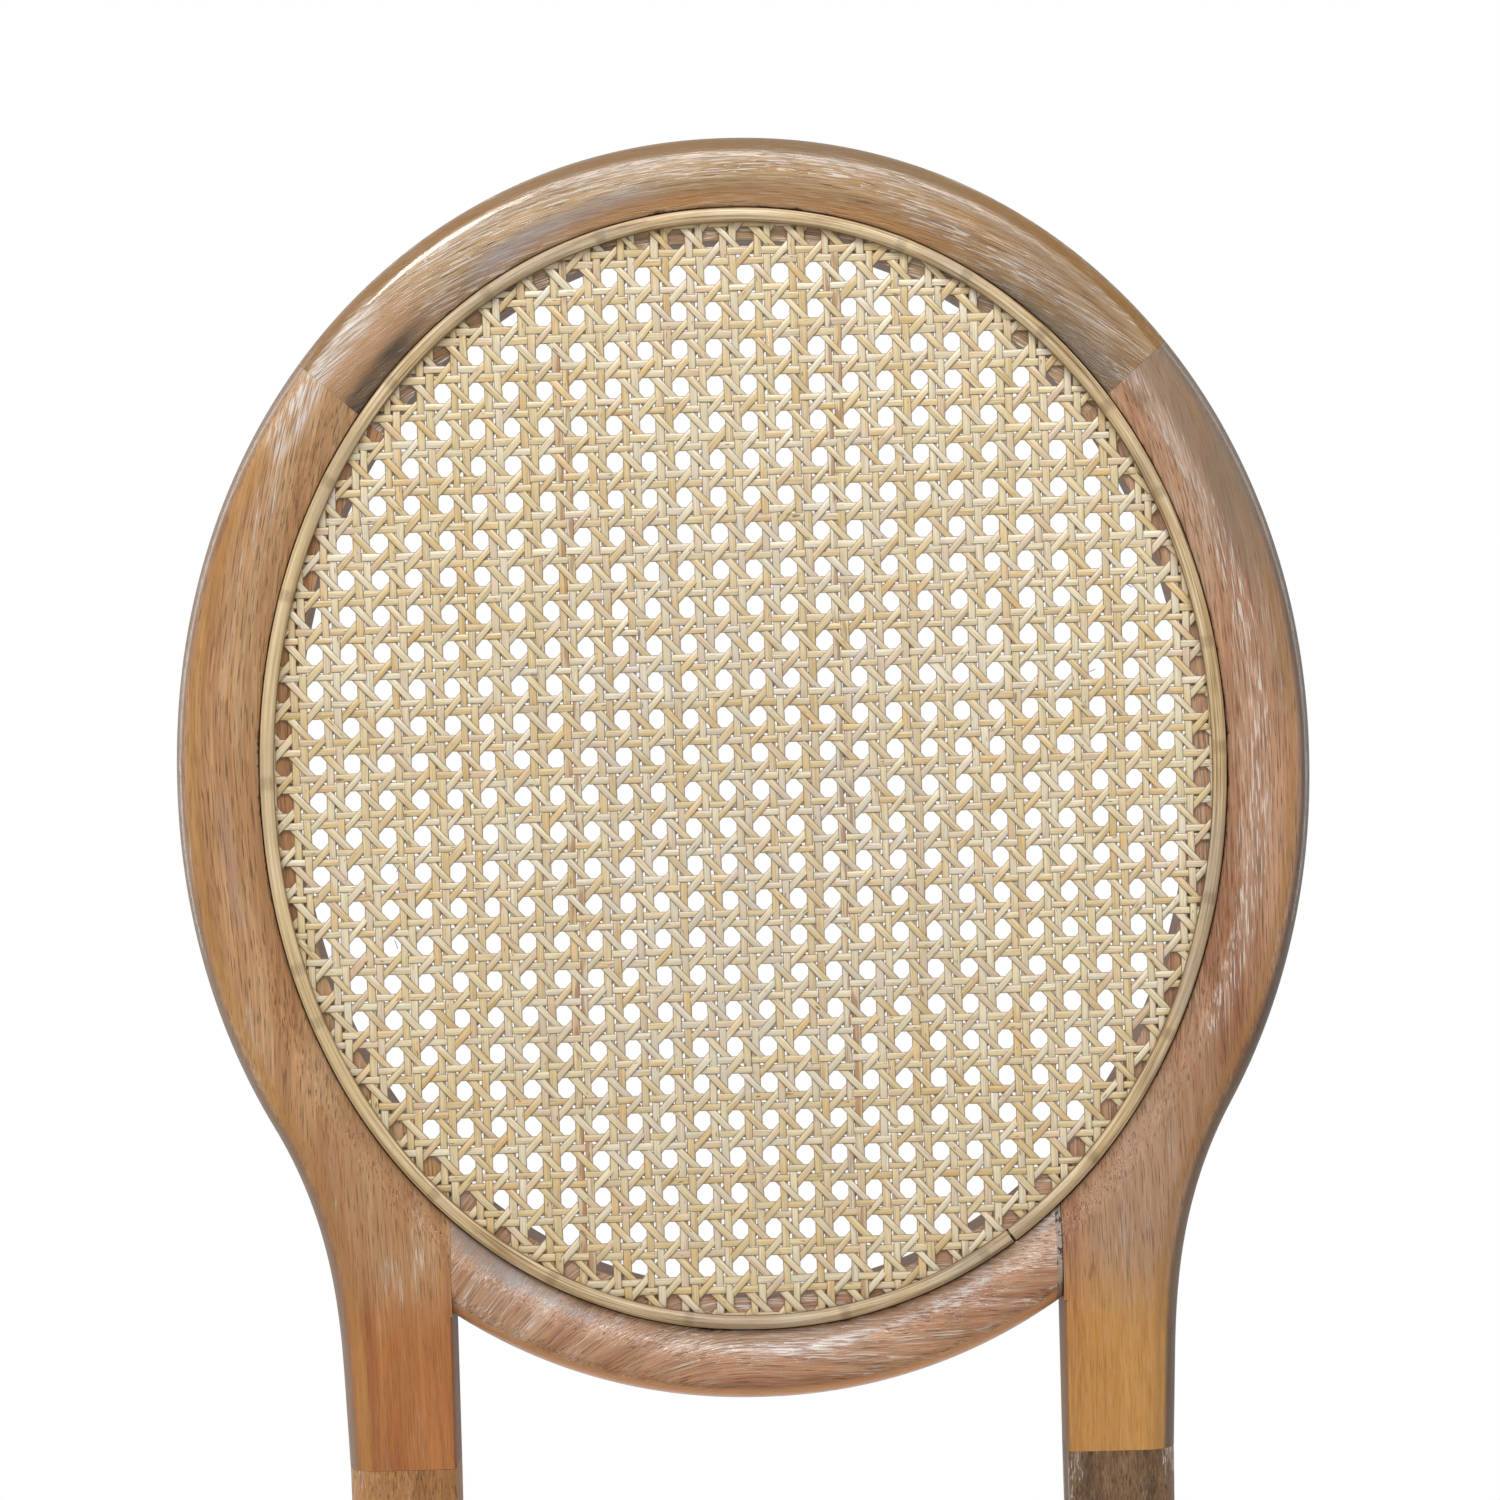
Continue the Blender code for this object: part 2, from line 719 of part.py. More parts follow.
def build_front_legs():
    block_bottom = rail_bottom - leg_block_drop
    length = block_bottom - leg_foot
    profile = [(half_block * radius, block_bottom - length * drop) for drop, radius in turned_shares]
    profile = [(0, block_bottom + overrun), (profile[0][0], block_bottom + overrun),
               *profile[1:], (0, leg_foot)]
    legs = {}
    for side, sign in (("right", 1), ("left", -1)):
        name = "front_leg_" + side
        stand = Matrix.Translation((sign * front_leg_spread, front_line, 0))
        shape = turned_solid(name, profile, turned_steps)
        shape.transform(stand)
        leg = place(name, shape, wood(name, "leg"), chair)
        block = bar(name + "_block", (leg_block, leg_block, rail_top - block_bottom))
        round_edges(block, lambda edge: True, leg_block_round, 1)
        block.transform(stand @ Matrix.Translation((0, 0, (rail_top + block_bottom) / 2)))
        combine(leg, place(name + "_block", block, None, chair, tool=True), "UNION")
        flutes = []
        for index in range(flute_count):
            angle = 2 * math.pi * (index + 0.5) / flute_count
            ends = []
            for share in (flute_top_share, flute_end_share):
                radius = turned_radius(share)
                ends.append((radius * math.cos(angle), radius * math.sin(angle),
                             block_bottom - length * share))
            flutes.append(rod(f"flute_{index}", flute_top_radius, *ends, sides=flute_sides,
                              end_radius=flute_end_radius))
        flute_shape = gathered(name + "_flutes", flutes)
        flute_shape.transform(stand)
        combine(leg, place(name + "_flutes", flute_shape, None, chair, tool=True))
        legs[side] = leg
        add_glide("floor_glide_front_" + side, sign * front_leg_spread, front_line,
                  profile[-2][0] * glide_foot_share)
    return legs


# Plan of the seat rails, for the right side
side_rear = post_front - fit_gap
side_front = front_line + half_block + fit_gap
side_rear_width = post_outer_width - rail_inset
side_front_width = front_leg_spread + half_block - rail_inset
side_lean = math.atan2(side_front_width - side_rear_width, side_rear - side_front)
side_thickness = rail_thickness / math.cos(side_lean)
front_half = front_leg_spread - half_block - fit_gap
front_face = front_line - half_block + rail_inset
rear_rail_front = post_front + rear_rail_setback
rear_rail_rear = rear_rail_front + rail_thickness


def side_outer(along):
    share = (side_rear - along) / (side_rear - side_front)
    return (side_rear_width + (side_front_width - side_rear_width) * share
            + side_bow * 4 * share * (1 - share))


def side_inner(along):
    return side_outer(along) - side_thickness


def front_outer(across):
    return front_face - front_bow * (1 - (across / front_half) ** 2)


def add_tenon(rail, leg, name, foot_point, direction):
    """A tenon on the end of a rail, with its mortise in the leg."""
    turn = math.atan2(-direction[0], direction[1])
    way = Vector((*direction, 0)).normalized()
    level = (rail_top + rail_bottom) / 2
    for kind, slack, partner, operation in (("tenon", 0, rail, "UNION"),
                                            ("mortise", fit_gap, leg, "DIFFERENCE")):
        length = tenon_length + overrun + slack
        shape = bar(name + kind, (tenon_thickness + 2 * slack, length, tenon_height + 2 * slack), turn)
        middle = Vector((*foot_point, level)) + way * (length / 2 - overrun)
        shape.transform(Matrix.Translation(middle))
        combine(partner, place(name + "_" + kind, shape, None, chair, tool=True), operation)


def ease_rail(shape, end_axis):
    """Round the long edges of a seat rail, and leave its end faces sharp."""
    def long_edge(edge):
        ends_up = [abs(face.normal.z) > 0.5 for face in edge.link_faces]
        at_end = any(abs(face.normal.dot(end_axis)) > 0.99 for face in edge.link_faces)
        return ends_up.count(True) == 1 and not at_end

    round_edges(shape, long_edge, rail_round, 1)


def build_seat_frame(front_legs, rear_legs):
    steps = [index / bow_steps for index in range(bow_steps + 1)]
    along_side = [side_rear + (side_front - side_rear) * share for share in steps]
    right_outline = [*[Vector((side_outer(y), y)) for y in along_side],
                     *[Vector((side_inner(y), y)) for y in reversed(along_side)]]
    for side, sign in (("right", 1), ("left", -1)):
        name = "seat_rail_" + side
        outline = right_outline if sign > 0 else mirrored(right_outline)
        shape = flat_solid(name, [outline], rail_bottom, rail_top)
        ease_rail(shape, Vector((0, 1, 0)))
        rail = place(name, shape, wood(name, "rail"), chair)
        way = Vector((-sign * math.sin(side_lean), math.cos(side_lean)))
        rear_foot = (sign * (side_outer(side_rear) + side_inner(side_rear)) / 2, side_rear)
        front_foot = (sign * (side_outer(side_front) + side_inner(side_front)) / 2, side_front)
        add_tenon(rail, rear_legs[side], name + "_rear", rear_foot, way)
        add_tenon(rail, front_legs[side], name + "_front", front_foot, -way)

    across_front = [front_half * (2 * share - 1) for share in steps]
    outline = [*[Vector((x, front_outer(x))) for x in across_front],
               *[Vector((x, front_outer(x) + rail_thickness)) for x in reversed(across_front)]]
    shape = flat_solid("seat_rail_front", [outline], rail_bottom, rail_top)
    ease_rail(shape, Vector((1, 0, 0)))
    front = place("seat_rail_front", shape, wood("seat_rail_front", "rail"), chair)
    rear_half = post_inner_width - fit_gap
    outline = [(-rear_half, rear_rail_front), (rear_half, rear_rail_front),
               (rear_half, rear_rail_rear), (-rear_half, rear_rail_rear)]
    shape = flat_solid("seat_rail_rear", [outline], rail_bottom, rail_top)
    ease_rail(shape, Vector((1, 0, 0)))
    rear = place("seat_rail_rear", shape, wood("seat_rail_rear", "rail"), chair)
    for side, sign in (("right", 1), ("left", -1)):
        add_tenon(front, front_legs[side], "front_rail_" + side,
                  (sign * front_half, front_face + rail_thickness / 2), (sign, 0))
        add_tenon(rear, rear_legs[side], "rear_rail_" + side,
                  (sign * rear_half, (rear_rail_front + rear_rail_rear) / 2), (sign, 0))


def corner_block_plan(front):
    """The five corners of a right-hand corner block, notched round the leg."""
    side_gap = fit_gap / math.cos(side_lean)
    if front:
        leg_side = front_leg_spread - half_block - fit_gap
        leg_face = side_front
        first = Vector((leg_side - corner_block_reach,
                        front_outer(leg_side - corner_block_reach) + rail_thickness + fit_gap))
        second = Vector((leg_side, front_outer(leg_side) + rail_thickness + fit_gap))
        last_along = leg_face + corner_block_reach
    else:
        leg_side = post_inner_width - fit_gap
        leg_face = side_rear
        first = Vector((leg_side - corner_block_reach, rear_rail_front - fit_gap))
        second = Vector((leg_side, rear_rail_front - fit_gap))
        last_along = leg_face - corner_block_reach
    return [first, second, Vector((leg_side, leg_face)),
            Vector((side_inner(leg_face) - side_gap, leg_face)),
            Vector((side_inner(last_along) - side_gap, last_along))]


def pad_half_outline(inset):
    """Right half of the seat's plan, set in from the outer faces of the rails."""
    deeper = inset - pad_inset
    corner_across = side_outer(front_face) - inset
    corner_along = front_outer(corner_across) + inset
    corner = Vector((corner_across, corner_along))
    start = Vector((corner_across - pad_corner, front_outer(corner_across - pad_corner) + inset))
    finish_along = corner_along + pad_corner
    finish = Vector((side_outer(finish_along) - inset, finish_along))
    notch_along = post_front - post_clearance - deeper
    notch_across = post_inner_width - post_clearance - deeper
    rear_along = rear_rail_rear - inset
    near = notch_point_spacing
    points = [Vector((start.x * share, front_outer(start.x * share) + inset))
              for share in front_run_shares]
    for share in corner_run_shares:
        points.append(start * (1 - share) ** 2 + corner * 2 * share * (1 - share)
                      + finish * share ** 2)
    points.append(finish)
    for share in side_run_shares:
        along = finish.y + (notch_along - finish.y) * share
        points.append(Vector((side_outer(along) - inset, along)))
    notch_outer = side_outer(notch_along) - inset
    points += [Vector((notch_outer, notch_along - near)), Vector((notch_outer - near, notch_along)),
               Vector((notch_across + near, notch_along)), Vector((notch_across, notch_along + near)),
               Vector((notch_across, rear_along - near)), Vector((notch_across - near, rear_along)),
               Vector((notch_across / 2, rear_along)), Vector((0, rear_along))]
    return points


def pad_outline(inset):
    right = pad_half_outline(inset)
    return [*right, *mirrored(right)[1:-1]]


def pad_rings(inset, low, side_top, crown):
    """Rings of a crowned pad: its foot, the bulge of its side, then smaller ones over the top."""
    half_across = side_outer(front_face) - inset
    half_along = (rear_rail_rear - front_face) / 2 - inset
    middle = Vector((0, (front_face + rear_rail_rear) / 2))
    outline = pad_outline(inset)
    bulge = low + (side_top - low) * bulge_height_share
    rings = [[Vector((*point, low)) for point in pad_outline(inset + pad_draw_in)],
             [Vector((*point, bulge)) for point in outline]]
    for size, rise, plain in crown_ring_shares:
        ring = []
        for point in outline:
            offset = point - middle
            reach = (abs(offset.x / half_across) ** crown_power
                     + abs(offset.y / half_along) ** crown_power) ** (-1 / crown_power)
            offset *= size * (1 - plain + plain * reach)
            ring.append(Vector((*(middle + offset), side_top + crown * rise)))
        rings.append(ring)
    return rings


def build_seat():
    deck_low = rail_top + fit_gap
    deck_high = deck_low + deck_thickness
    side_top = rail_top + pad_side_height
    inner_inset = pad_inset + pad_draw_in + cover_thickness + foam_clearance

    deck = place("seat_deck", flat_solid("seat_deck", [pad_outline(inner_inset)], deck_low, deck_high),
                 new_finish("plywood", (0.60, 0.44, 0.26), 0.6), chair)

    foam_top = side_top - cover_thickness - foam_clearance
    rings = pad_rings(inner_inset, deck_high + fit_gap, foam_top, pad_crown - foam_clearance)
    place("seat_foam", loft("seat_foam", rings), new_finish("foam", (0.85, 0.78, 0.52), 0.9), chair)

    cage = loft("seat_cover", pad_rings(pad_inset, deck_low, side_top, pad_crown))
    work = bmesh.new()
    work.from_mesh(cage)
    bottom = [face for face in work.faces if all(corner.co.z < deck_high for corner in face.verts)
              and len(face.verts) > 4]
    bmesh.ops.delete(work, geom=bottom, context="FACES_ONLY")
    work.to_mesh(cage)
    work.free()
    cover = place("seat_cover", cage, new_finish("linen", (0.72, 0.66, 0.56), 0.85), chair)
    smooth = cover.modifiers.new("smooth", "SUBSURF")
    smooth.levels = 1
    smooth.render_levels = 1
    skin = cover.modifiers.new("cloth", "SOLIDIFY")
    skin.thickness = cover_thickness
    skin.offset = -1

    welt_inset = pad_inset + pad_draw_in / 3 - welt_radius - 2 * fit_gap
    drawing = bpy.data.curves.new("seat_welt", "CURVE")
    drawing.dimensions = "3D"
    drawing.bevel_depth = welt_radius
    drawing.bevel_resolution = 1
    add_poly(drawing, [(*point, deck_low + welt_radius) for point in pad_outline(welt_inset)])
    place("seat_welt", mesh_from_curve(drawing), new_finish("welt_linen", (0.66, 0.60, 0.50), 0.85), chair)

    front_plan = corner_block_plan(True)
    rear_plan = corner_block_plan(False)
    clear = cloth_clearance
    side_points = [(side_inner(y) - clear, y) for y in (front_plan[4].y + clear, rear_plan[4].y - clear)]
    right = [Vector((0, front_outer(0) + rail_thickness + clear)),
             Vector((front_plan[0].x - clear, front_plan[0].y + clear)),
             *[Vector(point) for point in side_points],
             Vector((rear_plan[0].x - clear, rear_plan[0].y - clear)),
             Vector((0, rear_plan[0].y - clear))]
    place("dust_cloth", flat_solid("dust_cloth", [[*right, *mirrored(right)[1:-1]]],
                                   rail_top - dust_cloth_thickness, rail_top),
          new_finish("black_cambric", (0.03, 0.03, 0.03), 0.9), chair)

    block_low = rail_top - corner_block_height
    for end, plan in (("front", front_plan), ("rear", rear_plan)):
        for side, sign in (("right", 1), ("left", -1)):
            name = f"corner_block_{end}_{side}"
            outline = plan if sign > 0 else mirrored(plan)
            block = place(name, flat_solid(name, [outline], block_low, rail_top),
                          wood(name, "block"), chair)
            spot = (plan[0] + plan[2] * 2 + plan[4]) / 4
            across = sign * spot.x
            screw_name = f"seat_screw_{end}_{side}"
            head_low = block_low - fit_gap - screw_head_height
            tip = deck_low + screw_bite
            profile = [(0, tip), (screw_radius / 2, tip), (screw_radius, tip - screw_radius),
                       (screw_radius, block_low - fit_gap), (screw_head_radius, block_low - fit_gap),
                       (screw_head_radius, head_low), (0, head_low)]
            shape = turned_solid(screw_name, profile, round_sides)
            shape.transform(Matrix.Translation((across, spot.y, 0)))
            place(screw_name, shape, new_finish(screw_name + "_steel", (0.62, 0.60, 0.56), 0.3, 1.0), chair)
            hole_name = screw_name + "_hole"
            hole = rod(hole_name, screw_radius + 2 * fit_gap, (across, spot.y, block_low - overrun),
                       (across, spot.y, tip + fit_gap))
            hole_tool = place(hole_name, hole, None, chair, tool=True)
            combine(block, hole_tool)
            combine(deck, hole_tool)


crest_rail, stile_pieces, lower_rail = build_back()
build_spline()
build_cane()
rear_legs = build_rear_legs()
build_back_dowels(crest_rail, stile_pieces, lower_rail, rear_legs)
front_legs = build_front_legs()
build_seat_frame(front_legs, rear_legs)
build_seat()


def centre_on_floor():
    """Move the chair so that the middle of its outline stands over the origin."""
    bpy.context.view_layer.update()
    graph = bpy.context.evaluated_depsgraph_get()
    along = []
    for piece in chair_parts.objects:
        seen = piece.evaluated_get(graph)
        along += [(seen.matrix_world @ vertex.co).y for vertex in seen.data.vertices]
    chair.location.y = -(min(along) + max(along)) / 2
    print("rear posts stand at y =", round(chair.location.y, 5))


centre_on_floor()
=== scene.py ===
# %% [markdown]
# # A side chair with an oval cane back
# The chair was sawn, turned and joined as solid pieces first. Here those pieces are dressed: the
# wood of the back gets its soft mouldings, the panel gets every strand of its cane, the seat gets
# its cloth. All sizes are metres. The chair faces -Y and stands on z = 0.

# %% Load the joined chair
import math
from contextlib import contextmanager

import bmesh
import bpy
import numpy as np
from mathutils import Matrix, Vector


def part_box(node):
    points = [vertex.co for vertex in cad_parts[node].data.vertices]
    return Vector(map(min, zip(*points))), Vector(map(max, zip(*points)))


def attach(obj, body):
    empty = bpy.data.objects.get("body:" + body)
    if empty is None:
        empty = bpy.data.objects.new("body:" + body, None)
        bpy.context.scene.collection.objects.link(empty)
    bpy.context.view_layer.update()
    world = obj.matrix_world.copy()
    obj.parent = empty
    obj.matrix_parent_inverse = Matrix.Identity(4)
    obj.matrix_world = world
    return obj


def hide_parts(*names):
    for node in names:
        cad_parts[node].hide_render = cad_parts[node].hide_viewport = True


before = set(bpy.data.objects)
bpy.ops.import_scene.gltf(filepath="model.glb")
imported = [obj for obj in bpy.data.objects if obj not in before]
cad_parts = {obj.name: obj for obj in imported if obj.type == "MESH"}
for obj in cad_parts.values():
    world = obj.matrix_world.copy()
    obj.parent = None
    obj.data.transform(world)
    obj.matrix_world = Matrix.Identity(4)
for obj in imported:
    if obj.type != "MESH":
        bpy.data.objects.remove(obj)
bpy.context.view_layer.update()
print("solids loaded:", len(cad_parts))

# %% [markdown]
# ## The plane of the back
# The real back is made flat on a bench and leans 11 degrees in the chair. Working in the leaning
# plane would make every curve hard to read, so each piece of the back is drawn flat: X across, Y up
# the back, Z out of its front, zero at the middle of the oval. One matrix then leans it.

# %% Where the back stands
lean = math.radians(11)
oval_middle = Vector((0, 0.230793, 0.769029))
back_place = Matrix.Translation(oval_middle) @ Matrix.Rotation(math.pi / 2 - lean, 4, "X")
print("front of the back looks along", [round(v, 3) for v in back_place.to_3x3() @ Vector((0, 0, 1))])

# %% Helpers for objects and meshes
def add_object(name, data, place=back_place):
    """Show a mesh, a curve, a lamp or a camera at a place."""
    made = bpy.data.objects.new(name, data)
    bpy.context.scene.collection.objects.link(made)
    made.matrix_world = place
    return made


def facing(way):
    """The turn that points an object's own Z axis along a way."""
    return way.to_track_quat("Z", "Y").to_matrix().to_4x4()


def evaluated(piece):
    """The piece as Blender shows it, with its modifiers worked out."""
    return piece.evaluated_get(bpy.context.evaluated_depsgraph_get())


@contextmanager
def editing(mesh, source=None):
    """A bmesh that starts from a mesh, or from another source, and is written to the mesh at the end."""
    work = bmesh.new()
    work.from_mesh(source or mesh)
    yield work
    work.to_mesh(mesh)
    work.free()


def corner_values(mesh, kind="co"):
    """The places or the normals of a mesh's corners as rows of three."""
    values = np.zeros(len(mesh.vertices) * 3)
    mesh.vertices.foreach_get(kind, values)
    return values.reshape(-1, 3)


def store_strand(mesh, values):
    """Keep three values at each corner of a mesh, which its material reads by the name strand."""
    stored = mesh.attributes.new("strand", "FLOAT_VECTOR", "POINT")
    stored.data.foreach_set("vector", np.array(values, np.float32).ravel())


def stand_for(piece, *cad_nodes):
    """Put a piece on the one body of the chair, in place of the solids that it shows."""
    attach(piece, "root")
    if cad_nodes:
        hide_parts(*cad_nodes)
    return piece


sides = (("right", 1), ("left", -1))
print("helpers ready")

# %% [markdown]
# ## Camera
# The photograph looks at the back a little more steeply than square on, from about 1.36 m, and is
# turned by about one and a half degrees. A long lens at that distance keeps the oval true.

# %% Set up the camera
view_distance = 1.356
view_rise = math.radians(12.74)
view_roll = math.radians(1.59)
photo_side, film_side, focal_length = 1500, 36, 90
aim_across, aim_up = (pixels / photo_side * film_side / focal_length for pixels in (6.6, 19.7))
lens = bpy.data.cameras.new("studio_lens")
lens.sensor_width = film_side
lens.lens = focal_length
toward = Vector((0, -math.cos(view_rise), math.sin(view_rise)))
aim = Matrix.Rotation(-aim_across, 4, "Y") @ Matrix.Rotation(aim_up, 4, "X")
camera = add_object("studio_camera", lens, Matrix.Translation(oval_middle + toward * view_distance)
                    @ facing(toward) @ Matrix.Rotation(-view_roll, 4, "Z") @ aim)
bpy.context.scene.camera = camera
print("camera at", [round(v, 3) for v in camera.matrix_world.translation])

# %% [markdown]
# ## Floor, backdrop and light
# A chair like this is photographed on a white sweep: bright behind, dim in front, with one large
# soft lamp high in front. The sweep is the world itself, white for what the camera and the varnish
# see of it. The floor is a pale disc that fades out, so that it holds the shadow of the legs only.

# %% Node helpers
def new_material(name):
    """An empty material, its nodes and a shader already joined to the output."""
    material = bpy.data.materials.new(name)
    material.use_nodes = True
    tree = material.node_tree
    return material, tree, tree.nodes["Principled BSDF"]


def node(tree, kind, **settings):
    """A node with its settings, and its inputs given by name or number."""
    made = tree.nodes.new("ShaderNode" + kind)
    inputs = settings.pop("inputs", {})
    for key, value in settings.items():
        setattr(made, key, value)
    for key, value in inputs.items():
        if isinstance(value, bpy.types.NodeSocket):
            tree.links.new(value, made.inputs[key])
        else:
            made.inputs[key].default_value = value
    return made


def tree_of(*values):
    """The node tree of the first socket among some values, so that the helpers need not be told it."""
    return next(value.id_data for value in values if isinstance(value, bpy.types.NodeSocket))


def math_node(operation, first, second=0.0, third=0.0):
    return node(tree_of(first, second, third), "Math", operation=operation,
                inputs={0: first, 1: second, 2: third}).outputs[0]


def times(first, *others):
    for value in others:
        first = math_node("MULTIPLY", first, value)
    return first


def remap(value, low, high, to_low=0.0, to_high=1.0, smooth=True):
    """The value's way from low to high, as a way from one number to another."""
    kind = "SMOOTHSTEP" if smooth else "LINEAR"
    return node(tree_of(value), "MapRange", interpolation_type=kind,
                inputs={0: value, 1: low, 2: high, 3: to_low, 4: to_high}).outputs[0]


def over_vector(operation, *vectors):
    """A sum that turns vectors into one number, such as their length or their dot product."""
    return node(tree_of(*vectors), "VectorMath", operation=operation,
                inputs=dict(enumerate(vectors))).outputs["Value"]


def blend_colour(share, first, second, kind="MIX"):
    tree = tree_of(share, first, second)
    made = node(tree, "Mix", data_type="RGBA", blend_type=kind, clamp_factor=True)
    for socket, value in zip((made.inputs[0], made.inputs[6], made.inputs[7]), (share, first, second)):
        if isinstance(value, bpy.types.NodeSocket):
            tree.links.new(value, socket)
        else:
            socket.default_value = value if isinstance(value, float) else (*value[:3], 1.0)
    return made.outputs[2]


def finish_shader(tree, shader, colour, rough, relief, strength=0.5, depth=0.0003):
    """Join the patterns that each material here has: its colour, its gloss and its relief."""
    bump = node(tree, "Bump", inputs={"Strength": strength, "Distance": depth, "Height": relief})
    for socket, value in (("Base Color", colour), ("Roughness", rough), ("Normal", bump.outputs[0])):
        tree.links.new(value, shader.inputs[socket])


print("node helpers ready")

# %% World: a white sweep behind the chair
world = bpy.data.worlds.new("white_sweep")
bpy.context.scene.world = world
world.use_nodes = True
sky = world.node_tree
sky.nodes.clear()
way = node(sky, "TexCoord").outputs["Generated"]
across, behind, _ = node(sky, "SeparateXYZ", inputs={0: way}).outputs
brightness = times(remap(behind, -0.35, 0.15, 0.58, 0.68), remap(across, -0.7, 0.7, 1.06, 0.78))
rays = node(sky, "LightPath").outputs
brightness = times(brightness, remap(rays["Is Glossy Ray"], 0, 1, 1, 0.6))
seen = math_node("MAXIMUM", rays["Is Camera Ray"], rays["Is Transmission Ray"])
level = node(sky, "Mix", inputs={0: seen, 2: brightness, 3: 1.0}).outputs[0]
sweep = node(sky, "Background", inputs={0: (1, 1, 1, 1), 1: level})
sky.links.new(sweep.outputs[0], node(sky, "OutputWorld").inputs[0])
bpy.context.scene.view_settings.view_transform = "Standard"
print("world set, view transform Standard")

# %% Floor that fades into the sweep
floor_radius, fade_from, fade_to = 1.5, 0.62, 1.15
floor_mesh = bpy.data.meshes.new("floor")
with editing(floor_mesh) as work:
    bmesh.ops.create_circle(work, cap_ends=True, radius=floor_radius, segments=96)
floor = add_object("floor", floor_mesh, Matrix.Identity(4))
pale, tree, shader = new_material("pale_floor")
place_on_floor = node(tree, "TexCoord").outputs["Object"]
far = over_vector("LENGTH", place_on_floor)
speckle = node(tree, "TexNoise", inputs={"Vector": place_on_floor, "Scale": 400.0})
shader.inputs["Roughness"].default_value = 0.8
tree.links.new(blend_colour(speckle.outputs[0], (0.84, 0.84, 0.84), (0.86, 0.86, 0.86)),
               shader.inputs["Base Color"])
clear = node(tree, "BsdfTransparent")
fade = remap(far, fade_from, fade_to)
rays = node(tree, "LightPath").outputs
mirrored_or_seen = math_node("MAXIMUM", rays["Is Camera Ray"], rays["Is Glossy Ray"])
glow = node(tree, "Emission", inputs={0: (1, 1, 1, 1), 1: times(mirrored_or_seen, 0.2)})
lit = node(tree, "AddShader")
tree.links.new(shader.outputs[0], lit.inputs[0])
tree.links.new(glow.outputs[0], lit.inputs[1])
faded = node(tree, "MixShader", inputs={0: fade})
tree.links.new(lit.outputs[0], faded.inputs[1])
tree.links.new(clear.outputs[0], faded.inputs[2])
tree.links.new(faded.outputs[0], tree.nodes["Material Output"].inputs[0])
floor_mesh.materials.append(pale)
print("floor disc", 2 * floor_radius, "m across")

# %% Lamps
def soft_lamp(name, size, power, turn, rise, distance):
    """A rectangular softbox; turn is degrees to the right of the front, rise is its height."""
    data = bpy.data.lights.new(name, "AREA")
    data.shape = "RECTANGLE"
    data.size, data.size_y = size
    data.energy = power
    turn, rise = math.radians(turn), math.radians(rise)
    way = Vector((math.sin(turn) * math.cos(rise), -math.cos(turn) * math.cos(rise), math.sin(rise)))
    return add_object(name, data, Matrix.Translation(oval_middle + way * distance) @ facing(way))


soft_lamp("high_front_softbox", (2.6, 0.5), 26, -8, 62, 2.0)
varnish_strip = soft_lamp("varnish_strip", (2.4, 0.5), 40, -8, 63, 1.9)
varnish_strip.visible_diffuse = False
soft_lamp("left_strip", (0.35, 1.6), 4.5, -112, 8, 1.6)
soft_lamp("right_strip", (0.35, 1.6), 2.5, 112, 8, 1.6)
print("softboxes set, one of them seen by the varnish only")

# %% [markdown]
# ## The outlines of the back
# The oval is very slightly squarer than an ellipse. The crest joints, the S-curves down to the posts
# and the straight inner edges all meet it, so the shapes are found from the oval by formula and not
# typed point by point. Halving finds where one curve crosses another line.

# %% Oval and joint values
oval_half = (0.2041, 0.2271)
cane_half = (0.1737, 0.2016)
oval_power = 2.06
half_thick = 0.014
hairline = 0.00006
stile_inner = 0.110
stile_drop = 0.2482
smooth_steps = 360


def oval_point(half, angle):
    across, up = math.cos(angle), math.sin(angle)
    return Vector((half[0] * math.copysign(abs(across) ** (2 / oval_power), across),
                   half[1] * math.copysign(abs(up) ** (2 / oval_power), up)))


def outer_oval(angle):
    return oval_point(oval_half, angle)


def cane_oval(angle, offset=0.0):
    """A point of the inner oval, moved outwards by an offset."""
    point = oval_point(cane_half, angle)
    slope = oval_power - 1
    normal = Vector([math.copysign(abs(v) ** slope, v) / half ** oval_power
                     for v, half in zip(point, cane_half)])
    return point + normal.normalized() * offset


def crossing(measure, low, high):
    falls = measure(low) > 0
    for _ in range(48):
        middle = (low + high) / 2
        if (measure(middle) > 0) == falls:
            low = middle
        else:
            high = middle
    return (low + high) / 2


def arc(start, end, steps=smooth_steps):
    """Even angles from start to end, both ends included."""
    count = max(2, round(abs(end - start) / (2 * math.pi) * steps))
    return [start + (end - start) * index / count for index in range(count + 1)]


def mirrored(points):
    return [Vector((-point[0], *point[1:])) for point in reversed(points)]


print("oval", [round(2000 * half) for half in oval_half], "mm")

# %% The S-curve from the oval to the post
joint_angle = math.radians(40.8)
joint_lean = math.radians(41.5)
joint_across = Vector((math.cos(joint_lean), math.sin(joint_lean)))
joint_along = Vector((-joint_across.y, joint_across.x))
joint_point = outer_oval(joint_angle)
rough = -0.0153
inner_joint_angle = crossing(lambda a: (cane_oval(a, rough) - joint_point).dot(joint_along), 0.2, 1.2)
sweep_start_angle = math.radians(-32.5)
sweep_start = outer_oval(sweep_start_angle)
sweep_way = (outer_oval(sweep_start_angle - 0.002) - sweep_start).normalized()
sweep_end = Vector((0.1503, -0.2174))
taper = math.radians(2.2)
post_way = Vector((-math.sin(taper), -math.cos(taper)))
post_outer = sweep_end.x - (stile_drop + sweep_end.y) * math.tan(taper)


